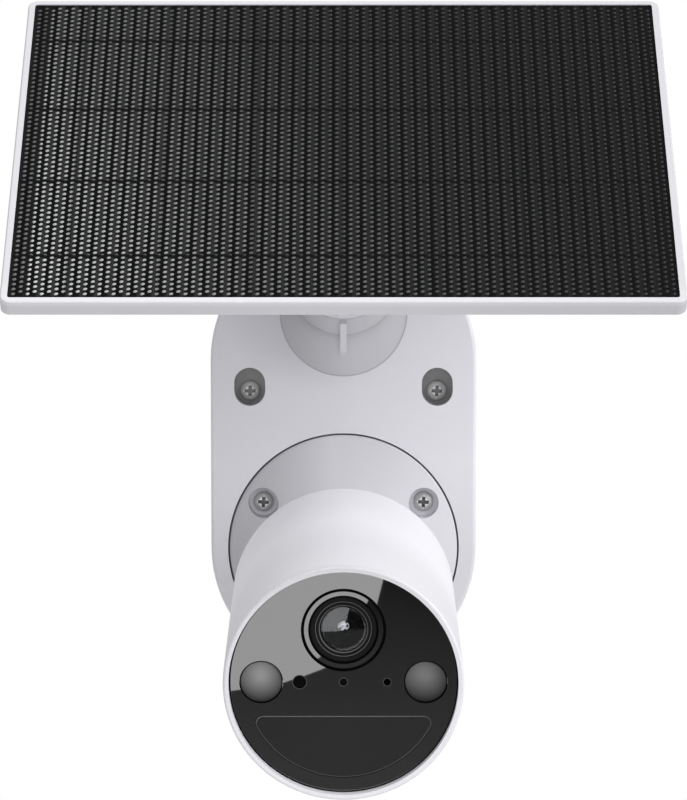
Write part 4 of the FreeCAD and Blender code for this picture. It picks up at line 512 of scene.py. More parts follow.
def film_dots():
    """The raised dots of the film in painted light: light grey toward the lower left, near black toward the
    upper right, and darker over the lines between cells.
    """
    paint = Paint("film_dots", (0.12, 0.12, 0.125), 0.45, Specular_IOR_Level=0.25)
    x, _, z = panel_place(paint)
    # painted light across the panel, from its lower left to its upper right
    painted_light_slope = paint.calc("MULTIPLY_ADD", z, 0.5, x)
    color = paint.ramp(paint.rise(painted_light_slope, -120, 120), [
        (0.0, (0.56, 0.566, 0.575)), (0.26, (0.19, 0.1919, 0.1948)), (0.5, (0.065, 0.0657, 0.0666)),
        (0.73, (0.03, 0.0303, 0.0308)), (1.0, (0.022, 0.0223, 0.0226))])
    paint.set("Base Color", paint.blend(dim_mask(paint, x, z), color, (0.022, 0.023, 0.025)))
    paint.vary_roughness(paint.noise(1800.0, 3.0), 0.38, 0.52)
    return paint.material


# ------------------------------------------------ white shells
WHITE = (0.80, 0.793, 0.835)


def shaded_white(name, color_of):
    """Moulded white plastic whose colour is worked out by color_of."""
    paint = Paint(name, WHITE, 0.45)
    paint.set("Base Color", color_of(paint))
    paint.grain(2600.0, 0.45, 0.004)
    return paint.material


def from_pair(paint, x, z, pair_x, pair_z):
    """Distance, seen from the front, to the nearer of two places in mm, one on each side."""
    folded = paint.joined(paint.calc("ABSOLUTE", x), z)
    return paint.measure("DISTANCE", folded, (pair_x * MM, 0, pair_z * MM))


def from_boss(paint, x, above):
    """Distance from a place on the plate's front, in mm from the foot of the boss."""
    return paint.measure("DISTANCE", paint.place, Vector((x, -PLATE_THICKNESS, BOSS_FOOT_Z + above)) * MM)


def plate_color(paint):
    """White, with dark grey insides to the two screw pockets, and painted light and shade: darker toward the
    bottom and the left, darker down in recesses, a painted shadow beside the boss, and a fine painted shade
    line round the boss's foot.
    """
    x, y, z = paint.parts(paint.place)
    inside = paint.fall(from_pair(paint, x, z, POCKET_X, POCKET_Z), 6.6, 6.9)
    deep = paint.rise(y, -11.9, -10.6)
    seam_shade = paint.fall(from_boss(paint, 0, 0), BOSS_RADIUS + 0.15, BOSS_RADIUS + 0.5)
    drift = paint.ramp(paint.noise(38.0, 3.0), [(0, shade(WHITE, 0.98)), (1, shade(WHITE, 1.02))])
    # painted light and shade: lower and left darker, upper lighter, recesses darker, a painted shadow left
    # of the boss
    color = paint.toned(
        drift,
        (z, [(-40, 0.94), (0, 0.96), (28, 1.08), (62, 1.09), (100, 1.11)]),
        (x, [(-46, 0.92), (-20, 0.97), (4, 1.0), (46, 0.99)]),
        (y, [(-12.2, 1.0), (-11.6, 1.0), (-10, 0.86), (-6, 0.75), (0, 0.75)]),
        (from_boss(paint, -8, 6), [(14, 0.86), (22, 0.9), (32, 1.0)]))
    # painted shade line in the seam round the boss's foot
    color = paint.blend(seam_shade, color, (0.45, 0.447, 0.46))
    return paint.blend(paint.calc("MULTIPLY", inside, deep), color, (0.45, 0.45, 0.452))


def boss_color(paint):
    """White in painted shade: greyer overall and darker toward the left, with a painted shade crease where
    the sleeve leaves the foot and a painted shade line near its front; the rib is kept out of the painted
    shade, so it stands lighter.
    """
    x, y, z = paint.parts(paint.place)
    from_foot = paint.vector("SUBTRACT", paint.place, Vector((0, -PLATE_THICKNESS, BOSS_CENTRE_Z)) * MM)
    along = paint.measure("DOT_PRODUCT", from_foot, (0, -math.cos(BOSS_RISE), math.sin(BOSS_RISE)))
    # painted shade along the boss's axis and across it, left darker
    color = paint.toned(
        WHITE,
        (along, [(0.0, 0.88), (3.0, 0.84), (SLEEVE_FOOT_REACH - 0.25, 0.74), (SLEEVE_FOOT_REACH, 0.58),
                 (SLEEVE_FOOT_REACH + 0.3, 0.84), (9.0, 0.86), (SLEEVE_FRONT_REACH - 0.35, 0.86),
                 (SLEEVE_FRONT_REACH, 0.62), (SLEEVE_FRONT_REACH + 0.35, 0.97)]),
        (x, [(-21, 0.76), (-12, 0.84), (0, 0.97), (10, 0.96), (21, 0.9)]))
    across = paint.fall(paint.calc("ABSOLUTE", x), RIB_HALF_WIDTH - 0.06, RIB_HALF_WIDTH + 0.02)
    below = paint.fall(z, BOSS_CENTRE_Z - 2.2, BOSS_CENTRE_Z - 1.6)
    proud = paint.fall(y, -PLATE_THICKNESS - 9.5, -PLATE_THICKNESS - 7.5)
    # the rib keeps plain white, out of the painted shade
    return paint.blend(paint.fold("MULTIPLY", across, below, proud), color, WHITE)


def disc_color(paint):
    """White, darker toward the disc's left as painted shade, and painted lighter round its screws."""
    x, _, z = paint.parts(paint.place)
    seat = paint.fall(from_pair(paint, x, z, LOW_SCREW_X, LOW_SCREW_Z), 4.55, 4.65)
    # painted shade: the disc darker toward its left, where the body's shadow falls
    color = paint.toned(WHITE, (x, [(-34, 0.62), (-22, 0.71), (-4, 0.95), (12, 0.92), (34, 0.97)]))
    # painted light: the screw seats lighter than the white
    return paint.blend(seat, color, shade(WHITE, 1.12))


def panel_color(paint):
    """White in painted shade: darker on the panel's sides and back than on its front edge, darker toward the
    right and the top, lighter along the lower edge, with a fine painted shade along its outer edge.
    """
    x, y, z = panel_place(paint)
    half = PANEL_WIDTH / 2
    # painted light and shade over the whole frame
    return paint.toned(
        WHITE,
        (y, [(0, 1.0), (1.2, 1.0), (2.0, 0.9), (20, 0.9)]),
        (x, [(-half, 0.94), (-half / 2, 0.94), (half / 2, 0.87), (half, 0.83)]),
        (z, [(-70, 1.07), (-66, 1.05), (-60, 0.99), (70, 0.95)]),
        (paint.calc("ABSOLUTE", x), [(0, 1.0), (half - 0.5, 1.0), (half - 0.2, 0.8), (half, 0.74)]))


def body_color(paint):
    """White in painted light: lighter toward the back of the body and darker toward its right, and its front
    rim painted lighter below than above.
    """
    home = paint.vector("SUBTRACT", paint.place, CAMERA_FRAME.to_translation())
    x, y, z = (paint.measure("DOT_PRODUCT", home, axis) for axis in CAMERA_AXES)
    # painted light on the body and its rim
    shell = paint.toned(WHITE, (y, [(0, 0.99), (30, 1.04), (60, 1.18), (108, 1.195)]),
                        (x, [(-34, 1.0), (0, 1.0), (20, 0.93), (34, 0.9)]))
    rim = paint.toned(WHITE, (z, [(-36, 1.12), (-10, 1.07), (12, 1.0), (36, 0.88)]))
    return paint.blend(paint.fall(y, 1.2, 2.6), shell, rim)


# ------------------------------------------------ face's materials
def from_axis(paint, x, z):
    """Distance from a line square to the face, at x and z of the camera frame."""
    near = paint.vector("SUBTRACT", paint.place, CAMERA_FRAME @ Vector((x, 0, z)))
    return paint.measure("LENGTH", paint.vector("CROSS_PRODUCT", near, CAMERA_AXES[1]))


def ring_mask(paint, reach, inner, outer):
    """1 between two radii in mm, 0 outside them."""
    blur = 0.04
    return paint.calc("MULTIPLY", paint.rise(reach, inner - blur, inner + blur),
                      paint.fall(reach, outer - blur, outer + blur))


def frosted():
    """Frosted lens over a light: milky, with a painted highlight a little above its middle, the right lens
    painted darker, a stipple and a dark rim.
    """
    paint = Paint("frosted_lens", (0.13, 0.13, 0.132), 0.36)
    local = paint.vector("SUBTRACT", paint.place, CAMERA_FRAME @ Vector((0, FACE_INSET, SPOT_HIGHLIGHT_Z)))
    x, _, z = paint.parts(local)
    across = paint.calc("SUBTRACT", paint.calc("ABSOLUTE", x), SPOT_X * MM)
    from_highlight = paint.measure("LENGTH", paint.joined(across, z))
    from_middle = paint.measure("LENGTH", paint.joined(across, paint.calc("ADD", z, SPOT_HIGHLIGHT_Z * MM)))
    # painted highlight, brightest a little above the lens's middle
    glow = paint.levels(from_highlight, [(1.0, (0.26, 0.26, 0.262)), (7.2, (0.034, 0.034, 0.035))])
    rim = paint.rise(from_middle, SPOT_RADIUS - 0.3, SPOT_RADIUS - 0.22)
    # painted light: the right lens darker than the left
    painted_lens_light = paint.toned(glow, (x, [(-SPOT_X, 1.0), (SPOT_X, 0.62)]))
    paint.set("Base Color", paint.blend(rim, painted_lens_light, 0.002))
    paint.set("Specular IOR Level", paint.spread(rim, 0.5, 0.0, 0.0, 1.0))
    stipple = paint.noise(3000.0, 3.0)
    paint.vary_roughness(stipple, 0.32, 0.45)
    paint.bump(stipple, 0.008)
    return paint.material


def barrel_black():
    """The barrel's dull black, with two fine light grey lines round the glass."""
    paint = Paint("barrel_black", (0.011, 0.0115, 0.0115), 0.5, Specular_IOR_Level=0.06)
    reach = from_axis(paint, 0, LENS_Z)
    color = paint.ramp(paint.noise(4000.0), [(0, (0.009, 0.0092, 0.0092)), (1, (0.013, 0.0134, 0.0134))])
    for inner, outer in ((6.72, 6.95), (7.8, 8.0)):
        color = paint.blend(ring_mask(paint, reach, inner, outer), color, (0.13, 0.131, 0.131))
    paint.set("Base Color", color)
    return paint.material


def face_black():
    """The polished face, with an unpolished outer edge, a fine dull line round each small hole, and each
    hole's edge painted near black as painted shade.
    """
    color = (0.0052, 0.0055, 0.0055)
    polished, unpolished = 0.012, 0.6
    paint = Paint("face_black", color, polished, IOR=2.3)
    dull = paint.rise(from_axis(paint, 0, 0), FACE_RADIUS - 0.46, FACE_RADIUS - 0.36)
    for x, radius in SENSOR_HOLES:
        reach = from_axis(paint, x, 0)
        line = ring_mask(paint, reach, radius + 0.12, radius + 0.25)
        hole = paint.fall(reach, radius + 0.06, radius + 0.12)
        # painted shade: each hole's edge near black
        color = paint.blend(hole, paint.blend(line, color, (0.07, 0.071, 0.071)), 0.001)
        dull = paint.fold("MAXIMUM", dull, line, hole)
    paint.set("Base Color", color)
    paint.set("Roughness", paint.spread(dull, polished, unpolished, 0.0, 1.0))
    paint.set("Specular IOR Level", paint.spread(dull, 0.5, 0.0, 0.0, 1.0))
    paint.bump(paint.noise(110.0, 1.0), 0.0002)
    return paint.material


# ------------------------------------------------ finishes, by material slot and by node
FINISHES = {
    "white_shell": moulded("white_shell", WHITE, 0.45),
    "motion_window": glossy_black("motion_window", (0.020, 0.0203, 0.0203), 0.02, Specular_IOR_Level=0.7),
    "black_plastic": moulded("black_plastic", (0.012, 0.012, 0.0125), 0.5, 1800.0, 0.008, 0.08),
    "lens_glass": lens_glass(),
    "frosted_lens": frosted(),
    "clear_plastic": glossy_black("clear_plastic", (0.0025, 0.0025, 0.003), 0.5, Specular_IOR_Level=0.05),
    "reflector": metal("reflector", (0.85, 0.85, 0.86), 0.12),
    "led_chip": moulded("led_chip", (0.75, 0.6, 0.2), 0.5, 3000.0, 0.004, 0.05),
    "steel_screw": plated_steel(),
    "socket_metal": metal("socket_metal", (0.68, 0.68, 0.69), 0.28, (1, 8, 1)),
    "brass_insert": metal("brass_insert", (0.72, 0.52, 0.22), 0.32),
    "rubber_seal": soft_rubber("rubber_seal", (0.025, 0.025, 0.026)),
    "rubber_cover": soft_rubber("rubber_cover", (0.72, 0.715, 0.75)),
    "button_plastic": moulded("button_plastic", (0.42, 0.42, 0.44), 0.45),
    "circuit_board": circuit_board(),
    "copper_film": metal("copper_film", (0.72, 0.38, 0.2), 0.35, (4, 1, 1)),
    "sensor_chip": glossy_black("sensor_chip", (0.03, 0.035, 0.06), 0.08),
    "cell_wrap": moulded("cell_wrap", (0.05, 0.16, 0.4), 0.3, 1200.0, 0.004, 0.05),
    "seat_plastic": moulded("seat_plastic", (0.4, 0.4, 0.41), 0.5, 1600.0, 0.006, 0.04),
    "solar_face": solar_film(),
    "solar_cell": silicon(),
}
OWN_FINISHES = {
    "mounting_plate": shaded_white("plate_white", plate_color),
    "panel_boss": shaded_white("boss_white", boss_color),
    "camera_base": shaded_white("disc_white", disc_color),
    "body_tube": shaded_white("body_white", body_color),
    "rear_cap": shaded_white("cap_white", body_color),
    "panel_frame": shaded_white("frame_white", panel_color),
    "panel_back": shaded_white("panel_back_white", panel_color),
    "lens_barrel": barrel_black(),
    "face_cover": face_black(),
}
RECESS_STEEL = recess_steel()
for node, made in frame["nodes"].items():
    made.data.materials.clear()
    made.data.materials.append(OWN_FINISHES[node] if node in OWN_FINISHES else FINISHES[SLOT_OF[node]])


# ------------------------------------------------ mesh helpers
def add_object(name, data):
    """A new object in the scene."""
    made = bpy.data.objects.new(name, data)
    bpy.context.scene.collection.objects.link(made)
    return made


def mesh_data(name, mesh, materials=()):
    """Mesh data from a bmesh, which is freed."""
    data = bpy.data.meshes.new(name)
    mesh.to_mesh(data)
    mesh.free()
    for material in materials:
        data.materials.append(material)
    return data


def to_piece(name, mesh, body, materials, smooth_angle=40.0):
    """Turns a finished bmesh in row-frame metres into a piece that rides on a body."""
    bmesh.ops.recalc_face_normals(mesh, faces=mesh.faces)
    data = mesh_data(name, mesh, materials)
    data.shade_smooth()
    data.set_sharp_from_angle(angle=math.radians(smooth_angle))
    piece = add_object(name, data)
    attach(piece, body)
    return piece


def lathe(mesh, profile, place, sides=96):
    """Revolves (radius, y) points about the local Y axis, in mm; a point on the axis closes the end."""
    rings = []
    for radius, y in profile:
        spots = circle(radius, sides) if radius > ON_AXIS else [(0, 0)]
        rings.append([mesh.verts.new(place @ Vector((x, y, z))) for x, z in spots])
    for first, second in zip(rings, rings[1:]):
        join_rings(mesh, first, second)
    return rings


def join_rings(mesh, first, second, material=0):
    """Faces between two closed rings, or between a ring and a point."""
    count = max(len(first), len(second))
    for i in range(count):
        j = (i + 1) % count
        corners = [first[i % len(first)]]
        if len(first) > 1:
            corners.append(first[j])
        if len(second) > 1:
            corners.append(second[j])
        corners.append(second[i % len(second)])
        mesh.faces.new(corners).material_index = material


def add_block(mesh, place, *ends):
    """A closed block between two rectangles, each given by its half width, half height and depth in mm."""
    rings = [[mesh.verts.new(place @ Vector((x * half_x, y, z * half_z)))
              for x, z in ((-1, -1), (1, -1), (1, 1), (-1, 1))] for half_x, half_z, y in ends]
    join_rings(mesh, *rings)
    for ring in rings:
        mesh.faces.new(ring)


def arc(centre_x, centre_y, radius, start, end, steps):
    """Points on a circular arc, from one angle to another in degrees."""
    angles = [math.radians(start + (end - start) * i / steps) for i in range(steps + 1)]
    return [(centre_x + radius * math.cos(angle), centre_y + radius * math.sin(angle)) for angle in angles]


def circle(radius, sides):
    """Points evenly spaced round a circle."""
    return arc(0, 0, radius, 0, 360, sides)[:-1]


# ------------------------------------------------ screws
def screw_mesh(place, head, head_height, neck, neck_length, thread, length, **cross):
    """A pan-head screw with a cross recess, a plain neck and a cut thread; seat at y = 0, pointing to +Y."""
    mesh = bmesh.new()
    edge_round = head_height * 0.62
    profile = [(0.0, -head_height), (head * 0.3, -head_height * 0.985), (head * 0.55, -head_height * 0.94)]
    profile += arc(head - edge_round * 0.8, -head_height * 0.94 + edge_round, edge_round * 0.8, -72, 0, 7)
    profile += [(head, -0.12 * head_height), (head * 0.965, 0.0), (neck, 0.0), (neck, neck_length)]
    last = lathe(mesh, profile, Matrix.Identity(4), SCREW_SIDES)[-1]
    root = thread - THREAD_DEPTH
    threaded = length - 2 * thread - neck_length
    rings = int(threaded / THREAD_PITCH * THREAD_STEPS)
    for index in range(1, rings + 1):
        y = neck_length + threaded * index / rings
        cut_in = min(1.0, index / THREAD_STEPS)
        ring = []
        for i in range(SCREW_SIDES):
            turn = i / SCREW_SIDES
            phase = (y / THREAD_PITCH - turn) % 1.0
            crest = 1 - abs(2 * phase - 1)
            radius = neck + (root + THREAD_DEPTH * crest - neck) * cut_in
            angle = 2 * math.pi * turn
            ring.append(mesh.verts.new((radius * math.cos(angle), y, radius * math.sin(angle))))
        join_rings(mesh, last, ring)
        last = ring
    join_rings(mesh, last, [mesh.verts.new((0, length, 0))])
    bmesh.ops.recalc_face_normals(mesh, faces=mesh.faces)
    return cross_cut(mesh, head_height, place, **cross)


def cross_cut(mesh, head_height, place, arm, width, depth):
    """Cuts a tapered cross out of the head and places the result; the recess takes the second material."""
    work = add_object("screw_work", mesh_data("screw_work", mesh))
    scraps = [work]
    for half_x, half_z in ((arm, width / 2), (width / 2, arm)):
        cutter_mesh = bmesh.new()
        add_block(cutter_mesh, Matrix.Identity(4), (half_x * 1.05, half_z * 1.05, -head_height - 0.2),
                  (half_x * 0.75, half_z * 0.75, -head_height + depth))
        bmesh.ops.recalc_face_normals(cutter_mesh, faces=cutter_mesh.faces)
        cut = work.modifiers.new("cross", "BOOLEAN")
        cut.operation = "DIFFERENCE"
        cut.solver = "EXACT"
        cut.object = add_object("cutter", mesh_data("cutter", cutter_mesh))
        scraps.append(cut.object)
    bpy.context.view_layer.update()
    evaluated = work.evaluated_get(bpy.context.evaluated_depsgraph_get())
    finished = bpy.data.meshes.new_from_object(evaluated)
    layer = finished.uv_layers.new(name="UVMap")
    for face in finished.polygons:
        middle = face.center
        near = math.hypot(middle.x, middle.z) < arm * 1.05
        sunk = -0.9 * head_height < middle.y < -head_height + depth + 0.01
        face.material_index = 1 if near and sunk else 0
        for corner in face.loop_indices:
            point = finished.vertices[finished.loops[corner].vertex_index].co
            layer.data[corner].uv = (point.x, point.z)
    finished.transform(place)
    for scrap in scraps:
        bpy.data.objects.remove(scrap)
    return finished


def screw_set(name, node, body, spots, base, pointing, spins, sizes):
    """All the screws of one CAD node as one piece, each turned by its own few degrees."""
    mesh = bmesh.new()
    turn = Matrix.Identity(4) if pointing > 0 else Matrix.Rotation(math.pi, 4, "X")
    for spot, spin in zip(spots, spins):
        place = base @ Matrix.Translation(spot) @ turn @ Matrix.Rotation(math.radians(spin), 4, "Y")
        made = screw_mesh(place, **sizes)
        mesh.from_mesh(made)
        bpy.data.meshes.remove(made)
    piece = to_piece(name, mesh, body, [FINISHES["steel_screw"], RECESS_STEEL], 35.0)
    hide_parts(node)


def circle_spots(diameter, y, centre_z=0.0):
    """Four places on a circle at the diagonals."""
    return [(x, y, centre_z + z) for x, z in arc(0, 0, diameter / 2, 45, 315, 3)]


def wall_screws():
    """Two screws in the upper pockets and four through the base disc."""
    spots = [(x, -UPPER_SCREW_SEAT, UPPER_SCREW_Z) for x in (-POCKET_X, POCKET_X)]
    spots += [(x, -LOW_SCREW_SEAT, z) for x in (-LOW_SCREW_X, LOW_SCREW_X)
              for z in (-LOW_SCREW_Z, LOW_SCREW_Z)]
    screw_set("wall_screw_set", "wall_screws", "base", spots, WALL_FRAME, 1, (0, 3, -2, 4, 0, 3), WALL_SCREW)


def cap_screws():
    """Four screws in the rear cap's counterbores."""
    spots = circle_spots(CAP_SCREW_CIRCLE, BODY_LENGTH - CAP_COUNTERBORE)
    screw_set("rear_cap_screw_set", "rear_cap_screws", "camera", spots, CAMERA_FRAME, -1,
              (12, 40, -8, 25), CAP_SCREW)


def flange_screws():
    """Four screws in the panel hub's flange."""
    spots = circle_spots(HUB_SCREW_CIRCLE, HUB_FLANGE_Y, PANEL_RISE)
    screw_set("hub_screw_set", "hub_screws", "panel", spots, PANEL_FRAME, -1, (5, -20, 30, 12), HUB_SCREW)


# ------------------------------------------------ camera face
def front_element():
    """The domed front glass as a thin shell with a rounded rim."""
    rim_y = FACE_INSET + 1.7
    thickness = 1.0
    curve = (LENS_RADIUS ** 2 + LENS_DOME ** 2) / (2 * LENS_DOME)
    edge = math.degrees(math.asin(LENS_RADIUS / curve))
    centre_y = rim_y - LENS_DOME + curve
    outside = arc(0, centre_y, curve, -90, -90 + edge, 14)
    inside = arc(0, centre_y, curve - thickness, -90 + edge * 0.94, -90, 14)
    mesh = bmesh.new()
    lathe(mesh, outside + [(LENS_RADIUS, rim_y + 0.8)] + inside, LENS_FRAME)
    piece = to_piece("front_lens_glass", mesh, "camera", [FINISHES["lens_glass"]], 50.0)
    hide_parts("front_lens")


def bezel_ring():
    """The polished, very slightly coned ring round the barrel, with a dull groove round its edge."""
    front = FACE_INSET + 0.2
    groove = front + 0.9
    ledge = FACE_INSET + 2.0
    back = FACE_INSET + 3.2
    land = BEZEL_OUTER - 0.55
    flange = BEZEL_OUTER + 1.2
    profile = [(BEZEL_INNER, back), (BEZEL_INNER, front + 0.1)]
    profile += arc(BEZEL_INNER + 0.1, front + 0.1, 0.1, 180, 270, 4)[1:]
    profile += [(BEZEL_INNER + 0.2, front), (land - 0.24, front + 0.02)]
    profile += arc(land - 0.12, front + 0.14, 0.12, 270, 360, 4)
    profile += [(land, groove), (BEZEL_OUTER, groove), (BEZEL_OUTER, ledge), (flange, ledge), (flange, back)]
    mesh = bmesh.new()
    rings = lathe(mesh, profile, LENS_FRAME, 128)
    join_rings(mesh, rings[-1], rings[0])
    to_lens = LENS_FRAME.inverted()
    for face in mesh.faces:
        middle = to_lens @ face.calc_center_median()
        polished = BEZEL_INNER + 0.19 < math.hypot(middle.x, middle.z) < land - 0.2
        face.material_index = 0 if polished else 1
    paint = glossy_black("bezel_black", (0.005, 0.0053, 0.0053), 0.012, IOR=2.3)
    dull = glossy_black("bezel_edge", (0.004, 0.004, 0.004), 0.6, Specular_IOR_Level=0.1)
    piece = to_piece("lens_bezel_ring", mesh, "camera", [paint, dull], 35.0)
    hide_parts("lens_bezel")


def lens_interior():
    """Black stepped funnel behind the front glass, down to the small aperture."""
    mesh = bmesh.new()
    radius, y = 5.6, FUNNEL_FRONT
    profile = [(radius, y)]
    for _ in range(FUNNEL_STEPS):
        radius -= 0.62
        profile += [(radius + 0.12, y), (radius, y + FUNNEL_STEP)]
        y += FUNNEL_STEP
    profile += [(2.2, y), (2.05, y + 0.4), (2.05, y + 0.9), (0.0, y + 0.9)]
    lathe(mesh, profile, LENS_FRAME)
    paint = Paint("funnel_black", (0.004, 0.004, 0.004), 0.7, Specular_IOR_Level=0.1)
    paint.vary_color(paint.noise(400.0), (0.003, 0.003, 0.003), (0.006, 0.006, 0.006))
    to_piece("lens_funnel", mesh, "camera", [paint.material], 30.0)


def inner_element():
    """The small second element in the middle of the funnel, with painted glints of white and near-black
    specks.
    """
    mesh = bmesh.new()
    rim_y = FUNNEL_FRONT + FUNNEL_STEPS * FUNNEL_STEP
    dome = [(1.75 * x, rim_y + 1.05 + 1.6 * y) for x, y in arc(0, 0, 1, -90, -22, 8)]
    lathe(mesh, dome + [(0.0, rim_y + 0.6)], LENS_FRAME, 64)
    paint = Paint("inner_glass", (0.16, 0.165, 0.17), 0.04, IOR=2.6)
    # painted glints
    painted_glints = paint.spread(paint.noise(1000.0, 0.0), 0.3, 0.7, 0.46, 0.54)
    paint.vary_color(painted_glints, (0.004, 0.004, 0.005), (0.75, 0.76, 0.77))
    paint.vary_roughness(paint.noise(500.0), 0.02, 0.08)
    to_piece("lens_inner_glass", mesh, "camera", [paint.material], 50.0)


def spotlight_domes():
    """The two frosted lenses, slightly domed, each with a soft rim."""
    mesh = bmesh.new()
    front = FACE_INSET - 0.15
    back = FACE_INSET + 2.6
    steps = 12
    profile = [(i / steps * (SPOT_RADIUS - 0.25), front + 0.62 * (i / steps) ** 2) for i in range(steps + 1)]
    profile += [(SPOT_RADIUS, front + 0.85), (SPOT_RADIUS, back), (0.0, back)]
    for x in (-SPOT_X, SPOT_X):
        lathe(mesh, profile, CAMERA_FRAME @ Matrix.Translation((x, 0, 0)), 72)
    piece = to_piece("spotlight_lens_domes", mesh, "camera", [FINISHES["frosted_lens"]])
    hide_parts("spotlight_lenses")


def half_moon(inset, y):
    """Points round the motion window's outline, moved in by an inset, at one depth of the camera frame."""
    radius = PIR_RADIUS - inset
    corner = PIR_CORNER - inset
    corner_z = PIR_TOP_Z - inset - corner
    corner_x = math.sqrt((radius - corner) ** 2 - corner_z ** 2)
    turn = math.degrees(math.atan2(corner_z, corner_x))
    right = arc(corner_x, corner_z, corner, 90, turn, 8)
    low = arc(0, 0, radius, turn, -180 - turn, 72)[1:-1]
    left = [(-x, z) for x, z in reversed(right)]
    return [CAMERA_FRAME @ Vector((x, y, z)) for x, z in right + low + left]


def motion_window():
    """The half-moon window: a smooth face with a fine rounded edge painted lighter grey, as a painted
    highlight.
    """
    front = FACE_INSET + 0.15
    ledge = FACE_INSET + 2.0
    back = FACE_INSET + 2.75
    mesh = bmesh.new()
    rings = []
    for inset, y in ((-0.9, back), (-0.9, ledge), (0.12, ledge), (0.12, front + 0.16), (0.2, front + 0.05),
                     (0.34, front), (0.4, front), (0.6, front)):
        rings.append([mesh.verts.new(point) for point in half_moon(inset, y)])
    for index, (first, second) in enumerate(zip(rings, rings[1:])):
        join_rings(mesh, first, second, 1 if index in (3, 4) else 0)
    mesh.faces.new(rings[0])
    mesh.faces.new(rings[-1])
    # painted highlight on the rounded edge
    finishes = [FINISHES["motion_window"], glossy_black("window_edge_highlight", (0.17, 0.171, 0.172), 0.25)]
    piece = to_piece("motion_window_face", mesh, "camera", finishes)
    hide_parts("pir_window")


# ------------------------------------------------ solar panel
def add_dot(mesh, x, z, surface):
    """One raised dot: a slanted oval dome in the second material."""
    rings = []
    for share, y in ((1.0, surface), (0.72, surface - DOT_HEIGHT * 0.72)):
        ring = []
        for along, across in circle(DOT_RADIUS * share, DOT_SIDES):
            across *= DOT_NARROWNESS
            ring.append(mesh.verts.new(PANEL_FRAME @ Vector((
                x + along * math.cos(DOT_LEAN) - across * math.sin(DOT_LEAN), y,
                z + along * math.sin(DOT_LEAN) + across * math.cos(DOT_LEAN)))))
        rings.append(ring)
    top = mesh.verts.new(PANEL_FRAME @ Vector((x, surface - DOT_HEIGHT, z)))
    join_rings(mesh, rings[0], rings[1], 1)
    join_rings(mesh, rings[1], [top], 1)


def solar_face():
    """The embossed film: a thin slab with staggered columns of raised dots."""
    half_x = PANEL_WIDTH / 2 - PANEL_SIDE_BEZEL - 0.1
    half_z = PANEL_HEIGHT / 2 - PANEL_END_BEZEL - 0.1
    surface = LAMINATE_INSET + 0.02
    mesh = bmesh.new()
    add_block(mesh, PANEL_FRAME, (half_x, half_z, surface), (half_x, half_z, LAMINATE_BACK))
    columns = int(2 * (half_x - DOT_RADIUS) / DOT_PITCH)
    rows = int(2 * (half_z - DOT_RADIUS) / DOT_PITCH)
    for column in range(columns + 1):
        stagger = DOT_PITCH / 2 if column % 2 else 0.0
        for row in range(rows):
            z = (row - rows / 2) * DOT_PITCH + stagger + DOT_PITCH / 4
            add_dot(mesh, (column - columns / 2) * DOT_PITCH, z, surface)
    finishes = [FINISHES["solar_face"], film_dots()]
    piece = to_piece("solar_film_face", mesh, "panel", finishes, 60.0)
    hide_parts("solar_laminate")


wall_screws()
cap_screws()
flange_screws()
front_element()
bezel_ring()
lens_interior()
inner_element()
spotlight_domes()
motion_window()
solar_face()


# ------------------------------------------------ studio
def floor():
    """A wide pale floor far below the part, pale to soft light; the camera and gloss look through it."""
    mesh = bmesh.new()
    bmesh.ops.create_grid(mesh, x_segments=1, y_segments=1, size=FLOOR_SIZE)
    paint = Paint("floor", (0.75, 0.75, 0.75), 0.9)
    paint.clear_where(paint.either_ray("Is Camera Ray", "Is Glossy Ray"))
    plane = add_object("floor", mesh_data("floor", mesh, [paint.material]))
    plane.location = (0, 0, FLOOR_Z)


def world():
    """White to the camera; soft light that is stronger from some sides; a dim room to anything glossy."""
    scene_world = bpy.data.worlds.new("studio")
    bpy.context.scene.world = scene_world
    scene_world.use_nodes = True
    room = Nodes(scene_world.node_tree)
    background = room.tree.nodes["Background"]
    background.inputs["Color"].default_value = (1, 1, 1, 1)
    x, y, z = room.parts(room.node("ShaderNodeTexCoord").outputs["Generated"])
    soft = ROOM_FILL
    for direction, amount in ((x, -ROOM_LEFT), (y, -ROOM_FRONT), (z, ROOM_TOP)):
        soft = room.calc("ADD", room.calc("MAXIMUM", room.calc("MULTIPLY", direction, amount), 0.0), soft)
    ahead = room.spread(z, GLOSS_LOW, GLOSS_DARK, *GLOSS_LOW_EDGE)
    glossy = room.spread(y, ahead, GLOSS_BACK, *GLOSS_BACK_EDGE)
    strength = room.mix(room.either_ray("Is Glossy Ray", "Is Transmission Ray"), soft, glossy)
    to_camera = room.node("ShaderNodeLightPath").outputs["Is Camera Ray"]
    room.feed(room.mix(to_camera, strength, 1.0), background.inputs["Strength"])


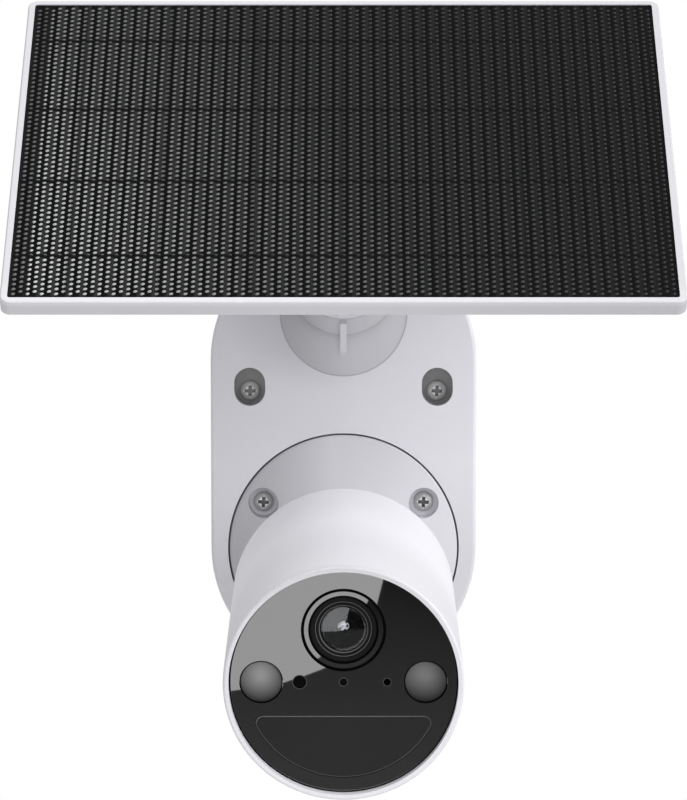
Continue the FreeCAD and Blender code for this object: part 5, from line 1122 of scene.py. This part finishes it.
def reflection_card():
    """A softbox in front of the part, up and to the left, seen only in gloss: the face's grey reflection.

    Its outline is the one that the reflection has on the face, in mm from the face's centre, carried out
    to where the viewer would see it in a mirror."""
    outline = [(6.3, 10.2), (-1.0, 6.2), (-5.5, 4.0), (-11.0, 1.8), (-16.8, -0.1), (-24.0, -1.5),
               (-32.0, -2.6), (-400.0, -70.0), (-400.0, 400.0), (103.0, 400.0)]
    facing = -CAMERA_AXES[1]
    viewer_height = (CAMERA_PLACE - CAMERA_FRAME @ Vector((0, FACE_INSET, 0))).dot(facing)
    mirrored = CAMERA_PLACE - facing * (2 * viewer_height)
    mesh = bmesh.new()
    corners = []
    for x, z in outline:
        on_face = CAMERA_FRAME @ Vector((x, FACE_INSET, z))
        corners.append(mesh.verts.new(on_face + (on_face - mirrored) * (CARD_DISTANCE / viewer_height)))
    mesh.faces.new(corners)
    paint = Paint("reflection_card", (0.0, 0.0, 0.0), 1.0)
    paint.tree.nodes.remove(paint.shader)
    glow = paint.node("ShaderNodeEmission")
    glow.inputs["Strength"].default_value = CARD_GLOW
    in_gloss = paint.node("ShaderNodeLightPath").outputs["Is Glossy Ray"]
    paint.clear_where(paint.calc("SUBTRACT", 1.0, in_gloss), glow.outputs["Emission"])
    add_object("reflection_card", mesh_data("reflection_card", mesh, [paint.material]))


def softbox(name, place, watts):
    """A square lamp aimed at the part."""
    lamp = bpy.data.lights.new(name, "AREA")
    lamp.size = LAMP_SIZE
    lamp.energy = watts
    made = add_object(name, lamp)
    made.location = place
    made.rotation_mode = "QUATERNION"
    made.rotation_quaternion = (Vector(LAMP_TARGET) - Vector(place)).to_track_quat("-Z", "Y")


def view_camera():
    """The camera at the reference viewing angle."""
    data = bpy.data.cameras.new("view")
    data.lens = CAMERA_LENS
    data.sensor_width = 36.0
    data.clip_start = 0.05
    data.clip_end = 60.0
    made = add_object("view", data)
    made.location = CAMERA_PLACE
    made.rotation_euler = (math.radians(90 - CAMERA_DOWN), 0, 0)
    bpy.context.scene.camera = made


floor()
world()
reflection_card()
for name, (place, watts) in LAMPS.items():
    softbox(name, place, watts)
view_camera()
bpy.context.scene.view_settings.view_transform = "Standard"
